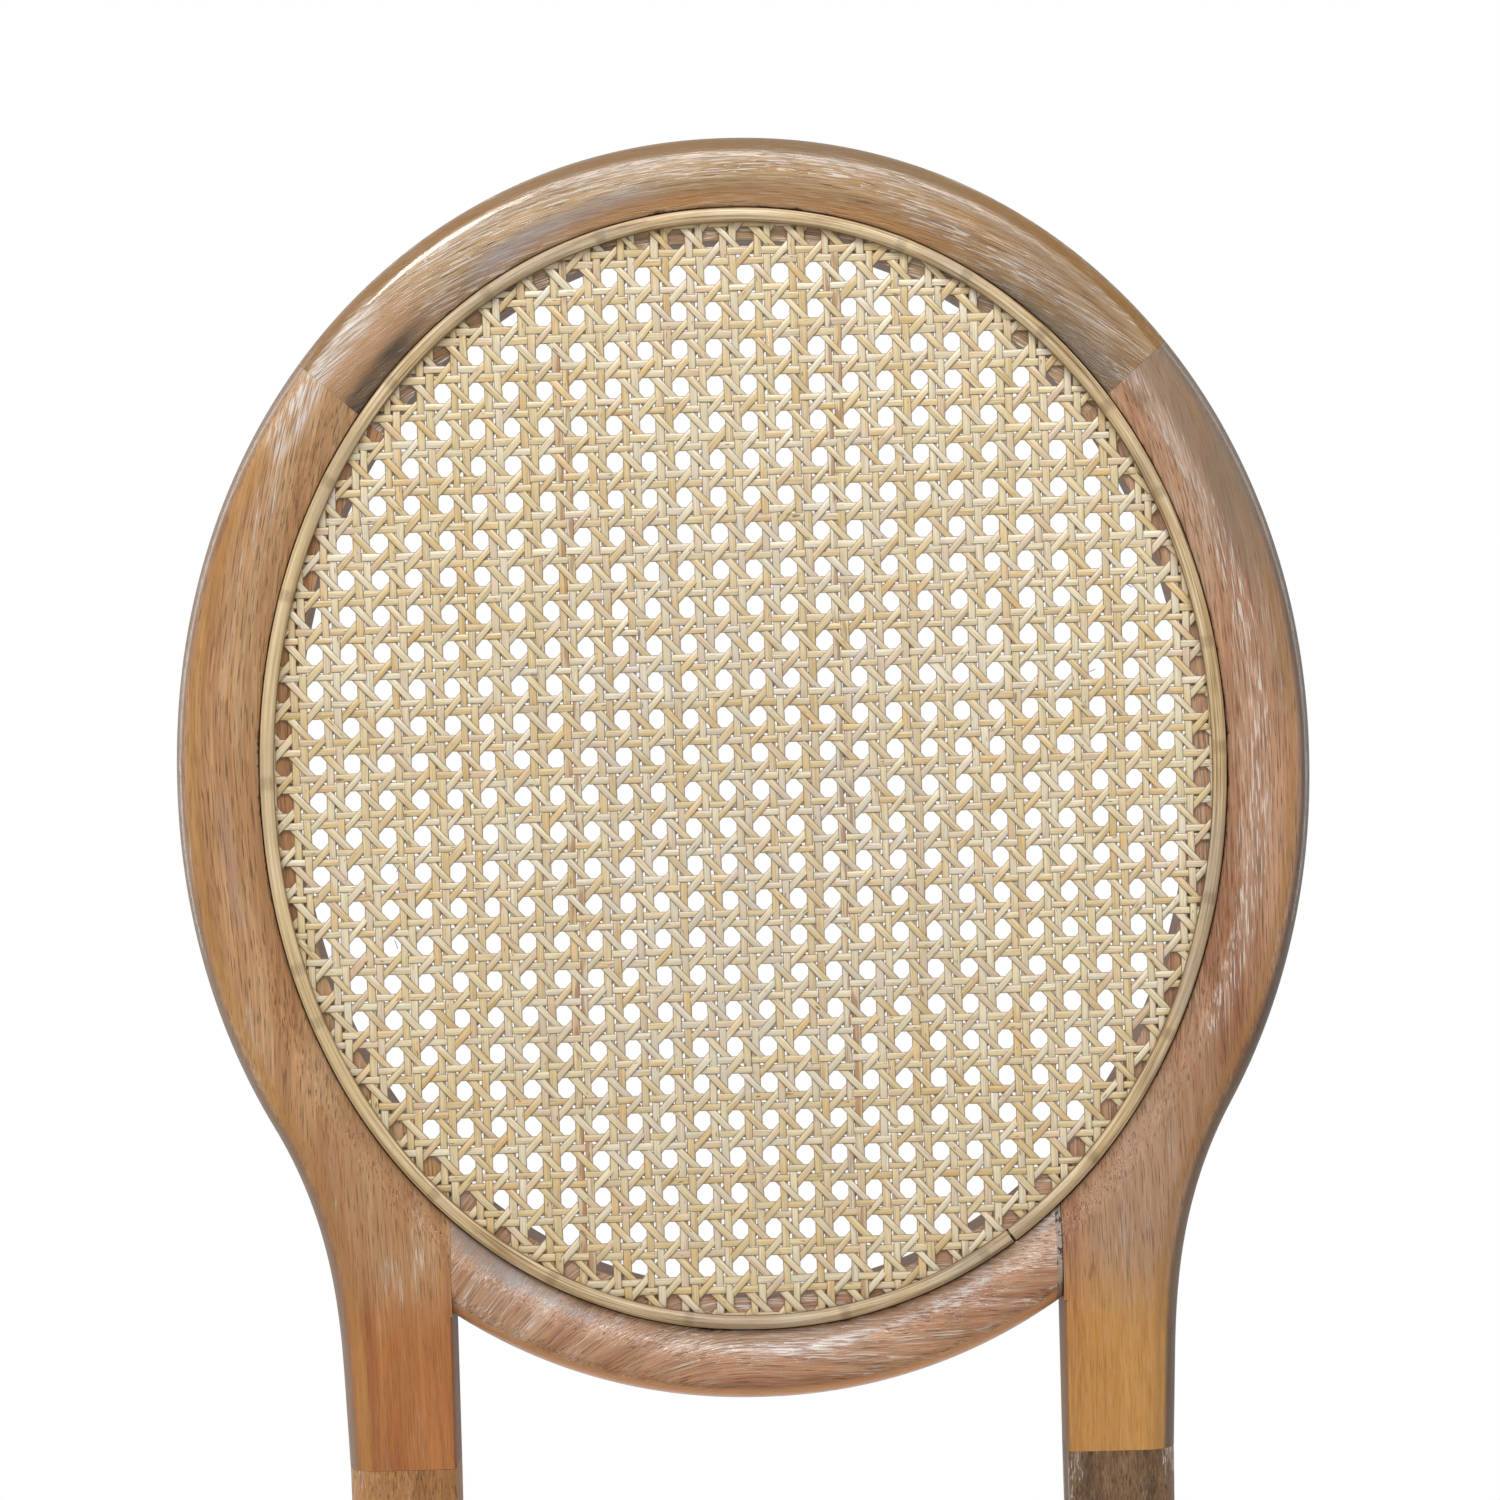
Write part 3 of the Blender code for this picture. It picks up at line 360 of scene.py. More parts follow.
def sweep_point(share):
    rest = 1 - share
    return (sweep_start * rest ** 3 + (sweep_start + sweep_way * 0.0389) * 3 * rest ** 2 * share
            + (sweep_end - post_way * 0.0273) * 3 * rest * share ** 2 + sweep_end * share ** 3)


print("post is", round((post_outer - stile_inner) * 1000, 1), "mm wide at the joint with the leg")

# %% [markdown]
# ## Sawn blanks with soft edges
# Each piece of the back starts as a board cut to its outline. A router then runs round the outside
# with a large round-over bit, and round the inside with a shaped bit that leaves a ledge for the
# cane, a groove for the spline and a soft hollow up to the face. The mesh is made in the same order:
# a flat curve is thickened, its outer edges are bevelled, and one swept cutter is taken away.

# %% Make a blank
def mesh_from_curve(curve):
    sketch = add_object(curve.name, curve, Matrix.Identity(4))
    mesh = bpy.data.meshes.new_from_object(evaluated(sketch))
    bpy.data.objects.remove(sketch)
    bpy.data.curves.remove(curve)
    with editing(mesh) as work:
        bmesh.ops.remove_doubles(work, verts=work.verts, dist=0.00001)
        bmesh.ops.recalc_face_normals(work, faces=work.faces)
    return mesh


def new_curve(name, dimensions, **settings):
    curve = bpy.data.curves.new(name, "CURVE")
    curve.dimensions = dimensions
    for key, value in settings.items():
        setattr(curve, key, value)
    return curve


def add_line(curve, points, closed=True):
    line = curve.splines.new("POLY")
    line.points.add(len(points) - 1)
    for knot, point in zip(line.points, points):
        knot.co = (*point, 0, 1) if len(point) == 2 else (*point, 1)
    line.use_cyclic_u = closed


def board(name, outline, thickness):
    curve = new_curve(name, "2D", fill_mode="BOTH", extrude=thickness / 2)
    add_line(curve, outline)
    mesh = mesh_from_curve(curve)
    with editing(mesh) as work:
        flat = [face for face in work.faces if abs(face.normal.z) > 0.999]
        bmesh.ops.dissolve_faces(work, faces=flat)
    return mesh


def round_over(mesh, run, level, radius, segments):
    """Round the edge of a board that follows a run of points at one level."""
    spots = np.array([tuple(point) for point in run])
    with editing(mesh) as work:
        chosen = {corner for corner in work.verts if abs(corner.co.z - level) < 1e-5
                  and np.hypot(*(spots - np.array(corner.co.xy)).T).min() < 1e-5}
        edges = [edge for edge in work.edges if chosen.issuperset(edge.verts)]
        bmesh.ops.bevel(work, geom=edges, offset=radius, offset_type="OFFSET", segments=segments,
                        profile=0.5, affect="EDGES", clamp_overlap=True)


outer_round, rear_round, arris = 0.0105, 0.006, 0.0015


def blank(name, outer_run, inner_run, plain_run=()):
    mesh = board(name, [*outer_run, *inner_run], 2 * half_thick)
    round_over(mesh, outer_run, half_thick, outer_round, 12)
    round_over(mesh, outer_run, -half_thick, rear_round, 6)
    if plain_run:
        for level in (half_thick, -half_thick):
            round_over(mesh, plain_run, level, arris, 3)
    return add_object(name, mesh)


print("round-over radius", outer_round * 1000, "mm")

# %% Saw the four pieces of the oval
tiny_gap = joint_along * hairline / 2
corner = cane_oval(inner_joint_angle, rough)
crest_outer = [joint_point + tiny_gap,
               *[outer_oval(a) for a in arc(joint_angle + 0.01, math.pi - joint_angle - 0.01)]]
crest_outer.append(mirrored([crest_outer[0]])[0])
crest_inner = [mirrored([corner + tiny_gap])[0],
               *[cane_oval(a, rough) for a in
                 arc(math.pi - inner_joint_angle - 0.01, inner_joint_angle + 0.01)],
               corner + tiny_gap]
crest = blank("crest", crest_outer, crest_inner)

rail_corner = outer_oval(-math.acos((stile_inner / oval_half[0]) ** (oval_power / 2)))
inner_start = crossing(lambda a: cane_oval(a, rough).x - stile_inner, -math.pi / 2, 0)
stile_outer = [joint_point - tiny_gap,
               *[outer_oval(a) for a in arc(joint_angle - 0.01, sweep_start_angle)],
               *[sweep_point(index / 48) for index in range(1, 49)], Vector((post_outer, -stile_drop))]
stile_edge = [Vector((stile_inner, -stile_drop + hairline)), Vector((stile_inner, rail_corner.y))]
edge_end = Vector((stile_inner, rail_corner.y + 0.0004))
stile_inner_run = [*stile_edge, edge_end,
                   *[cane_oval(a, rough) for a in arc(inner_start, inner_joint_angle - 0.01)],
                   corner - tiny_gap]
stiles = {"right": blank("right_stile", stile_outer, stile_inner_run, stile_edge),
          "left": blank("left_stile", mirrored(stile_outer), mirrored(stile_inner_run),
                        mirrored(stile_edge))}

rail_end = stile_inner - hairline
end_angle = -math.acos((rail_end / oval_half[0]) ** (oval_power / 2))
inner_end = crossing(lambda a: cane_oval(a, rough).x - rail_end, -math.pi / 2, 0)
lower_rail = blank("lower_rail", [outer_oval(a) for a in arc(-math.pi - end_angle, end_angle)],
                   [cane_oval(a, rough) for a in arc(inner_end, -math.pi - inner_end)])
print("four blanks of the oval")

# %% [markdown]
# ## One router pass round the opening
# The four pieces are glued up before the opening is moulded, so the hollow runs across the joints
# without a step. One closed cutter, swept round the inner oval, does the same to all four meshes.
# Its profile holds the ledge, the groove and an S-shaped hollow that ends level with the face.

# %% Sweep the cutter and cut
lip = 0.010
ledge = 0.008
groove_wide = 0.005
opening = 0.0113
hollow_wide = 0.013
groove_floor = 0.002
groove_outer, cutter_inner, past_board = 0.0003, -opening - 0.01, 0.02
hollow_steps = 14
hollow = [(hollow_wide * step / hollow_steps,
           lip + (half_thick + 0.00003 - lip) * (1 - math.cos(math.pi * step / hollow_steps)) / 2)
          for step in range(hollow_steps + 1)]
cutter_profile = [(cutter_inner, -past_board), (-opening, -past_board), (-opening, ledge),
                  (-groove_wide, ledge), (-groove_wide, groove_floor), (groove_outer, groove_floor),
                  (groove_outer, lip - 0.0004), *hollow[1:], (hollow_wide, past_board),
                  (cutter_inner, past_board)]
section = new_curve("router_bit_section", "2D")
add_line(section, cutter_profile)
bit = add_object("router_bit_section", section, Matrix.Identity(4))
route = new_curve("router_bit", "3D", fill_mode="FULL", twist_mode="Z_UP", bevel_mode="OBJECT",
                  bevel_object=bit)
add_line(route, [cane_oval(2 * math.pi * index / smooth_steps) for index in range(smooth_steps)])
cutter = add_object("router_bit", mesh_from_curve(route))
bpy.data.objects.remove(bit)


def apply_modifiers(piece):
    mesh = bpy.data.meshes.new_from_object(evaluated(piece))
    piece.modifiers.clear()
    piece.data = mesh


def cut_away(piece, cutter, cutter_overlaps=False):
    cut = piece.modifiers.new("cut", "BOOLEAN")
    cut.operation, cut.solver, cut.use_self, cut.object = "DIFFERENCE", "EXACT", cutter_overlaps, cutter
    bpy.context.view_layer.update()
    apply_modifiers(piece)
    bpy.context.view_layer.update()


def soft_shading(piece, angle=28):
    piece.data.shade_smooth()
    piece.data.set_sharp_from_angle(angle=math.radians(angle))


back_pieces = [crest, stiles["left"], stiles["right"], lower_rail]
for piece, cad in zip(back_pieces, ("crest_rail", "stile_left", "stile_right", "lower_back_rail")):
    cut_away(piece, cutter)
    soft_shading(piece)
    stand_for(piece, cad)
    print(piece.name, len(piece.data.polygons), "faces")
bpy.data.objects.remove(cutter)

# %% [markdown]
# ## Woven cane
# Six-way cane has upright pairs, level pairs and two sets of diagonals. The pairs plain-weave at
# each corner. One diagonal passes over the uprights and under the levels, the other the opposite
# way, and that locks the holes into eight-sided shapes. Each strand is a flat ribbon with a slightly
# round top, so each is built as a ribbon whose height follows the weave.

# %% The strand maker
pitch_x, pitch_y = 0.0122, 0.0132
pair_half = 0.0017
weave_level = 0.0089
weave_turn = math.radians(0.1)
weave_shift = Vector((-0.0001, -0.0004))
strand_thick, strand_step, strand_margin = 0.00042, 0.00125, 0.0028
end_dip, end_dip_length = 0.0012, 0.0022
chance = np.random.default_rng(11)
strand_section = np.array([(-1, 0), (-0.88, 0.40), (0, 0.50), (0.88, 0.40), (1, 0), (0.85, -0.42),
                           (-0.85, -0.42)])


def strand(line_point, line_way, keys, heights, width):
    """Corner places, faces, (along, across, tone) and depth in the weave of one ribbon."""
    way = Vector(line_way).normalized()
    side = Vector((-way.y, way.x))

    def inside(reach):
        point = Vector(line_point) + way * reach
        return 1 - ((abs(point.x) / (cane_half[0] - strand_margin)) ** oval_power
                    + (abs(point.y) / (cane_half[1] - strand_margin)) ** oval_power)

    middle = -Vector(line_point).dot(way)
    if inside(middle) < 0.004:
        return None
    first = crossing(inside, middle, middle - 0.4)
    last = crossing(inside, middle, middle + 0.4)
    count = max(6, int((last - first) / strand_step))
    reach = np.linspace(first, last, count + 1)
    slot = np.clip(np.searchsorted(keys, reach) - 1, 0, len(keys) - 2)
    share = np.clip((reach - keys[slot]) / (keys[slot + 1] - keys[slot]), 0, 1)
    height = heights[slot] + (heights[slot + 1] - heights[slot]) * (0.5 - 0.5 * np.cos(np.pi * share))
    sunk = 0.5 - 0.5 * height / np.abs(heights).max()
    from_end = np.minimum(reach - first, last - reach)
    height = weave_level + height - end_dip * np.exp(-(from_end / end_dip_length) ** 2)
    # Hand-split ribbons differ: each wanders, changes its width, tilts and has a tone of its own.
    wander = 0.00016 * np.sin(reach * chance.uniform(60, 160) + chance.uniform(0, 6)) + \
        chance.normal(0, 0.00010)
    wide = width / 2 * (1 + chance.normal(0, 0.06) + 0.05 * np.sin(reach * 230 + chance.uniform(0, 6)))
    tilt = chance.normal(0, 0.05) + 0.06 * np.sin(reach * 90 + chance.uniform(0, 6))
    tone_of_strand = chance.uniform(0, 1)
    ring = len(strand_section)
    s, z = strand_section[:, 0], strand_section[:, 1]
    across = wander[:, None] + wide[:, None] * s
    up = height[:, None] + strand_thick * z + (wide * tilt)[:, None] * s
    flat = (np.array(line_point) + reach[:, None, None] * np.array(way)
            + across[:, :, None] * np.array(side))
    places = np.concatenate([flat, up[:, :, None]], axis=2).reshape(-1, 3)
    index = np.arange(count)[:, None] * ring + np.arange(ring)
    after = np.arange(count)[:, None] * ring + (np.arange(ring) + 1) % ring
    faces = np.stack([index, after, after + ring, index + ring], axis=2).reshape(-1, 4)
    values = np.stack([np.repeat(reach, ring), np.tile(s, count + 1),
                       np.full(len(places), tone_of_strand)], 1)
    return places, faces, values, np.repeat(sunk, ring)


def panel_of_strands(name, made):
    """Join ribbons into one mesh and store their values on its corners."""
    made = [one for one in made if one is not None]
    starts = np.cumsum([0] + [len(one[0]) for one in made])
    places, values, depths = (np.concatenate([one[part] for one in made]) for part in (0, 2, 3))
    faces = np.concatenate([one[1] + start for one, start in zip(made, starts)])
    turn = np.array([[math.cos(weave_turn), math.sin(weave_turn)],
                     [-math.sin(weave_turn), math.cos(weave_turn)]])
    places[:, :2] = places[:, :2] @ turn + np.array(weave_shift)
    mesh = bpy.data.meshes.new(name)
    mesh.vertices.add(len(places))
    mesh.vertices.foreach_set("co", places.astype(np.float32).ravel())
    mesh.loops.add(len(faces) * 4)
    mesh.loops.foreach_set("vertex_index", faces.astype(np.int32).ravel())
    mesh.polygons.add(len(faces))
    mesh.polygons.foreach_set("loop_start", np.arange(0, len(faces) * 4, 4, dtype=np.int32))
    mesh.update(calc_edges=True)
    mesh.shade_smooth()
    store_strand(mesh, values)
    mesh.attributes.new("sunk", "FLOAT", "POINT").data.foreach_set("value", depths.astype(np.float32))
    piece = add_object(name, mesh)
    print(name, len(made), "strands,", len(faces), "faces")
    return piece


print("ribbon section has", len(strand_section), "corners")

# %% Uprights and levels
pitches = (pitch_x, pitch_y)
counts = [math.ceil(half / pitch) for half, pitch in zip(cane_half, pitches)]
rise = 0.00020
cane_pieces = []
for kind, axis, width, lift, names in (("upright", 0, 0.0029, -rise, ("left", "right")),
                                       ("level", 1, 0.0027, rise, ("lower", "upper"))):
    crossed = range(-counts[1 - axis] - 1, counts[1 - axis] + 2)
    for name, side in zip(names, (-1, 1)):
        keys, heights = np.array([(number * pitches[1 - axis] + part * pair_half, part * side * lift)
                                  for number in crossed for part in (-1, 1)]).T
        made = []
        for number in range(-counts[axis], counts[axis] + 1):
            spot = [0, 0]
            spot[axis] = number * pitches[axis] + side * pair_half
            made.append(strand(spot, (axis, 1 - axis), keys, heights, width))
        cane_pieces.append(panel_of_strands(f"cane_{kind}_{name}", made))

# %% Diagonals
diagonal = math.hypot(pitch_x, pitch_y)
diagonal_rise = 0.00047
numbers = range(-sum(counts), sum(counts) + 1)
halves = np.arange(-4 * sum(counts), 4 * sum(counts) + 1)
for name, slant in (("rising", 1), ("falling", -1)):
    heights = np.where(halves % 2 == 0, slant, -slant) * diagonal_rise
    for half_name, wanted in (("left", [k for k in numbers if k * slant < 0]),
                              ("right", [k for k in numbers if k * slant >= 0])):
        made = [strand(((number + 0.5) * pitch_x, 0), (pitch_x, slant * pitch_y),
                       halves / 2 * diagonal, heights, 0.0026) for number in wanted]
        cane_pieces.append(panel_of_strands(f"cane_{name}_{half_name}", made))
for piece in cane_pieces:
    stand_for(piece, "cane_panel")

# %% Loose fibres
# Where a ribbon was split badly, a dark hair of bark stands off the weave: place and way in
# millimetres and degrees, as (across, up, direction, length).
hairs = ((139.0, 63.2, -32, 2.6), (125.2, 32.0, 25, 2.2), (-125.6, -33.0, 60, 3.0),
         (-127.0, -57.6, -70, 3.2), (48.2, 73.4, -35, 2.8), (60.8, 56.6, 80, 2.6),
         (-75.4, 86.6, -80, 2.4), (-60.2, 121.6, 70, 2.2))
hair_lines = new_curve("cane_hairs", "3D", bevel_depth=0.00011, bevel_resolution=1, use_fill_caps=True)
hair_lift = ((0, 0), (0.35, 0.0006), (0.7, 0.0009), (1, 0.0008))
for across, up, direction, length in hairs:
    way = Vector((math.cos(math.radians(direction)), math.sin(math.radians(direction))))
    add_line(hair_lines, [(*(Vector((across, up)) / 1000 + way * length / 1000 * share),
                           weave_level + lift) for share, lift in hair_lift], closed=False)
cane_hairs = stand_for(add_object("cane_hairs", mesh_from_curve(hair_lines)), "cane_panel")
cane_hairs.data.shade_smooth()
print(len(hairs), "loose fibres")

# %% [markdown]
# ## Spline
# The cane is held by a round reed, wetted and driven into the groove over its edge. It was one
# length, so it has one butt joint, at the lower right. A reed swells a little at each leaf scar,
# so its radius is worked out along the way and the skin is built ring by ring.

# %% Drive in the reed
butt_angle = math.radians(-58.2)
scar_angles = (20.5, 29, 40, 51, 62, 78.5, 89, 104, 119, 135, 152, 170, 188, 205, 222, 245, 251, 270,
               289, 302, 315, 330, 345)
mean_radius = 0.187
reed_radius, reed_inset, reed_level = 0.00262, 0.00282, 0.0104
reed_steps, reed_ring = 900, 14
butt_gap, butt_away = 0.001, 0.19
half_butt = butt_gap / 2 / butt_away
reed_points, reed_values = [], []
for index in range(reed_steps + 1):
    angle = butt_angle + half_butt + (2 * math.pi - 2 * half_butt) * index / reed_steps
    clock = (90 - math.degrees(angle)) % 360
    swell = sum(math.exp(-((clock - scar) / 0.8) ** 2) for scar in scar_angles)
    half_wide = reed_radius * (1 + 0.04 * swell + 0.012 * math.sin(angle * 17))
    here = cane_oval(angle, -reed_inset)
    out = (cane_oval(angle, 0.01) - here).normalized()
    for turn in range(reed_ring):
        about = 2 * math.pi * turn / reed_ring
        flat = here + out * half_wide * math.cos(about)
        reed_points.append((flat.x, flat.y, reed_level + half_wide * 0.95 * math.sin(about)))
        reed_values.append((angle * mean_radius, about / (2 * math.pi), swell))


def ring_faces(count, size, closed=False):
    """Quads between rings of equal size, with flat ends unless the rings close on themselves."""
    faces = [(i * size + j, i * size + (j + 1) % size, (i + 1) % count * size + (j + 1) % size,
              (i + 1) % count * size + j) for i in range(count if closed else count - 1)
             for j in range(size)]
    if not closed:
        faces += [tuple(reversed(range(size))), tuple((count - 1) * size + j for j in range(size))]
    return faces


reed_mesh = bpy.data.meshes.new("reed_spline")
reed_mesh.from_pydata(reed_points, [], ring_faces(reed_steps + 1, reed_ring))
store_strand(reed_mesh, reed_values)
reed = stand_for(add_object("reed_spline", reed_mesh), "cane_spline")
soft_shading(reed, 50)
print("reed spline with", len(scar_angles), "leaf scars")

# %% [markdown]
# ## Rear legs
# Each post changes to a separate leg piece at a straight butt joint below the lower rail. The leg
# starts with the section of the post, grows a little deeper where the seat rails meet it, bends
# twice and tapers to the floor. A bandsaw and a spokeshave give such a shape on the bench. Here it
# is a skin over rounded rectangles that are set along the bent centre line.

# %% Loft the rear legs
seat_place = Matrix.Translation((0, 0.16878, 0))
rail_top, rail_bottom = 0.440, 0.380
glide_high = 0.003
floor_gap = glide_high + 0.0003
splay = math.radians(10)
stile_end = (stile_inner, post_outer, 2 * half_thick, outer_round, rear_round, arris)
leg_edges = (0.005, 0.005, arris)
leg_section = (0.1105, 0.1475, 0.034, *leg_edges)
foot_section = (0.1145, 0.1435, 0.027, *leg_edges)


def mixed(first, second, share):
    return [a + (b - a) * share for a, b in zip(first, second)]


def eased(share):
    return share * share * (3 - 2 * share)


def leg_ring(centre, tilt, section):
    """Rounded rectangle across a leg; a section is (inner, outer, depth, three edge radii)."""
    inner, outer, depth, front_edge, rear_edge, inner_edge = section
    corners = ((outer, 1, front_edge, 0), (outer, -1, rear_edge, -90),
               (inner, -1, inner_edge, -180), (inner, 1, inner_edge, -270))
    ring = []
    for across, forward, radius, start in corners:
        middle_x = across - math.copysign(radius, across - (inner + outer) / 2)
        middle_y = forward * (depth / 2 - radius)
        for step in range(8):
            angle = math.radians(start + 90 - 90 * step / 7)
            reach = middle_y + radius * math.sin(angle)
            ring.append(Vector((middle_x + radius * math.cos(angle), centre.x - reach * math.cos(tilt),
                                centre.y + reach * math.sin(tilt))))
    return ring


def bent(first, corner, last, share):
    return first * (1 - share) ** 2 + corner * 2 * share * (1 - share) + last * share ** 2


def skin(name, rings, place, closed=False, angle=35):
    """A closed mesh over rings of equal size."""
    mesh = bpy.data.meshes.new(name)
    mesh.from_pydata([tuple(point) for ring in rings for point in ring], [],
                     ring_faces(len(rings), len(rings[0]), closed))
    with editing(mesh) as work:
        bmesh.ops.recalc_face_normals(work, faces=work.faces)
    piece = add_object(name, mesh, place)
    soft_shading(piece, angle)
    return piece


knee_rise, post_rise, knee_reach, bend_reach = 0.010, 0.0768, 0.025, 0.030
knee = Vector((0, rail_top + knee_rise))
up_back = Vector((math.sin(lean), math.cos(lean)))
down_leg = Vector((math.sin(splay), -math.cos(splay)))
leg_top = knee + up_back * (post_rise - hairline)
upper = knee + up_back * knee_reach
bend = Vector((0, rail_bottom - bend_reach))
lower = bend + down_leg * bend_reach
foot = Vector((lower.x + (lower.y - floor_gap) * math.tan(splay), floor_gap))
lower_section = mixed(leg_section, foot_section, (rail_bottom - lower.y) / (rail_bottom - floor_gap))
rings = [leg_ring(leg_top.lerp(upper, s), lean, mixed(stile_end, leg_section, eased(s)))
         for s in np.linspace(0, 1, 10)[:-1]]
rings += [leg_ring(bent(upper, knee, Vector((0, rail_top)), s), lean * (1 - s), leg_section)
          for s in np.linspace(0, 1, 13)]
rings += [leg_ring(bent(Vector((0, rail_bottom)), bend, lower, s), -splay * s,
                   mixed(leg_section, lower_section, s)) for s in np.linspace(0, 1, 13)]
shin, sole = rings[-1], leg_ring(foot, 0, foot_section)
rings += [[a.lerp(b, s) for a, b in zip(shin, sole)] for s in (0.25, 0.5, 0.75, 0.995)]
inner, outer, depth = foot_section[:3]
rings.append(leg_ring(foot, 0, (inner + 0.0015, outer - 0.0015, depth - 0.003, *leg_edges)))
rear_legs = {}
for side, sign in sides:
    turned_rings = [[(sign * p.x, p.y, p.z) for p in ring] for ring in rings]
    rear_legs[side] = stand_for(skin("rear_leg_shaped_" + side, turned_rings, seat_place),
                                "rear_leg_" + side)
print("rear legs from", len(rings), "sections")

# %% [markdown]
# ## Front legs
# The front legs are turned on a lathe below a square block, then fluted with a round cutter. A lathe
# profile gives the radius at each height. The flutes are round valleys in it, narrower towards the
# foot and with round ends, so one formula of height and angle makes the whole turned part.

# %% Turn and flute the front legs
half_block = 0.023
block_bottom = rail_bottom - 0.004
turned_length = block_bottom - floor_gap
leg_spread, leg_line = 0.205, -0.405
body_knots = ((0, 0.50), (0.03, 0.54), (0.084, 0.60), (0.128, 0.78), (0.822, 0.50), (0.864, 0.48),
              (0.925, 0.60), (0.962, 0.54), (1, 0.42))
turned_beads = ((0.041, 0.016, 0.82), (0.106, 0.015, 0.90), (0.842, 0.013, 0.64))
flutes = 12
flute_ends = (0.150, 0.795)
flute_radii = (0.0028, 0.0017)


def turned_profile(share):
    for (low, wide), (high, narrow) in zip(body_knots, body_knots[1:]):
        if share <= high:
            part = (share - low) / (high - low)
            radius = wide + (narrow - wide) * (part if high - low > 0.1 else eased(part))
            break
    for middle, half, top in turned_beads:
        reach = (share - middle) / half
        if abs(reach) < 1:
            radius = max(radius, radius + (top - radius) * math.sqrt(1 - reach * reach))
    return radius * half_block


def fluted(share, radius, angle):
    part = min(1, max(0, (share - flute_ends[0]) / (flute_ends[1] - flute_ends[0])))
    cutter_radius = flute_radii[0] + (flute_radii[1] - flute_radii[0]) * part
    past = max(0, flute_ends[0] - share, share - flute_ends[1]) * turned_length
    aside = (angle * flutes / (2 * math.pi)) % 1 - 0.5
    aside *= 2 * math.pi / flutes * radius
    return radius - math.sqrt(max(0, cutter_radius ** 2 - past ** 2 - aside ** 2))


def turned(name, profile, steps, place, angle=35):
    """A lathe profile of (radius, height) points, closed at both ends."""
    rings = [[(radius * math.cos(2 * math.pi * i / steps), radius * math.sin(2 * math.pi * i / steps), high)
              for i in range(steps)] for radius, high in profile]
    return skin(name, rings, place, angle=angle)


leg_shares = sorted({*np.linspace(0, 0.145, 70), *np.linspace(0.145, 0.165, 14),
                     *np.linspace(0.165, 0.785, 26), *np.linspace(0.785, 0.80, 14),
                     *np.linspace(0.80, 1, 80)})
leg_sides = flutes * 14
rings = []
for share in leg_shares:
    radius = turned_profile(share)
    level = block_bottom - share * turned_length
    angles = [2 * math.pi * index / leg_sides for index in range(leg_sides)]
    reach = [fluted(share, radius, angle) for angle in angles]
    rings.append([(r * math.cos(a), r * math.sin(a), level) for r, a in zip(reach, angles)])
rings.insert(0, [(x, y, block_bottom + 0.003) for x, y, _ in rings[0]])
for side, sign in sides:
    stand = seat_place @ Matrix.Translation((sign * leg_spread, leg_line, 0))
    leg = stand_for(skin("front_leg_turned_" + side, rings, stand, angle=30), "front_leg_" + side)
    work = bmesh.new()
    bmesh.ops.create_cube(work, size=1)
    work.transform(Matrix.Translation((0, 0, (rail_top + block_bottom) / 2))
                   @ Matrix.Diagonal((2 * half_block, 2 * half_block, rail_top - block_bottom, 1)))
    bmesh.ops.bevel(work, geom=work.edges[:], offset=0.002, segments=4, profile=0.5, affect="EDGES")
    work.from_mesh(leg.data)
    work.to_mesh(leg.data)
    work.free()
    soft_shading(leg, 30)
    print(leg.name, len(leg.data.polygons), "faces")

# %% Floor glides
glide_share = 0.8
for end, across, along, radius in (
        ("front", leg_spread, leg_line, body_knots[-1][1] * half_block * glide_share),
        ("rear", 0.129, foot.x, 0.0104)):
    profile = [(radius - 0.0022, 0), (radius - 0.0010, 0.0003), (radius - 0.0003, 0.0010),
               (radius, 0.0020), (radius, glide_high)]
    for side, sign in sides:
        stand = seat_place @ Matrix.Translation((sign * across, along, 0))
        stand_for(turned(f"glide_{end}_{side}", profile, 48, stand, 50), f"floor_glide_{end}_{side}")
print("four nylon glides")

# %% [markdown]
# ## Seat rails
# Four rails are tenoned into the legs. The front one is sawn to a bow and the sides swell slightly.
# Their long edges are softened with a small round-over, as a router with a bearing would do it.

# %% Saw the seat rails
rail_thick = 0.022
side_rear, side_front = -0.0173, -0.3817
side_rear_width, side_front_width = 0.146, 0.2265
side_lean = math.atan2(side_front_width - side_rear_width, side_rear - side_front)
front_half, front_face, front_bow = 0.1817, -0.4265, 0.029
rear_rail_front = -0.013


def side_outer(along):
    share = (side_rear - along) / (side_rear - side_front)
    return (side_rear_width + (side_front_width - side_rear_width) * share
            + 0.006 * 4 * share * (1 - share))


def front_outer(across):
    return front_face - front_bow * (1 - (across / front_half) ** 2)


def seat_rail(name, outer_run, inner_run, cad):
    mesh = board(name, [*outer_run, *inner_run], rail_top - rail_bottom)
    for run in (outer_run, inner_run):
        for level in (1, -1):
            round_over(mesh, run, level * (rail_top - rail_bottom) / 2, 0.003, 4)
    piece = add_object(name, mesh, seat_place @ Matrix.Translation((0, 0, (rail_top + rail_bottom) / 2)))
    soft_shading(piece, 30)
    return stand_for(piece, cad)


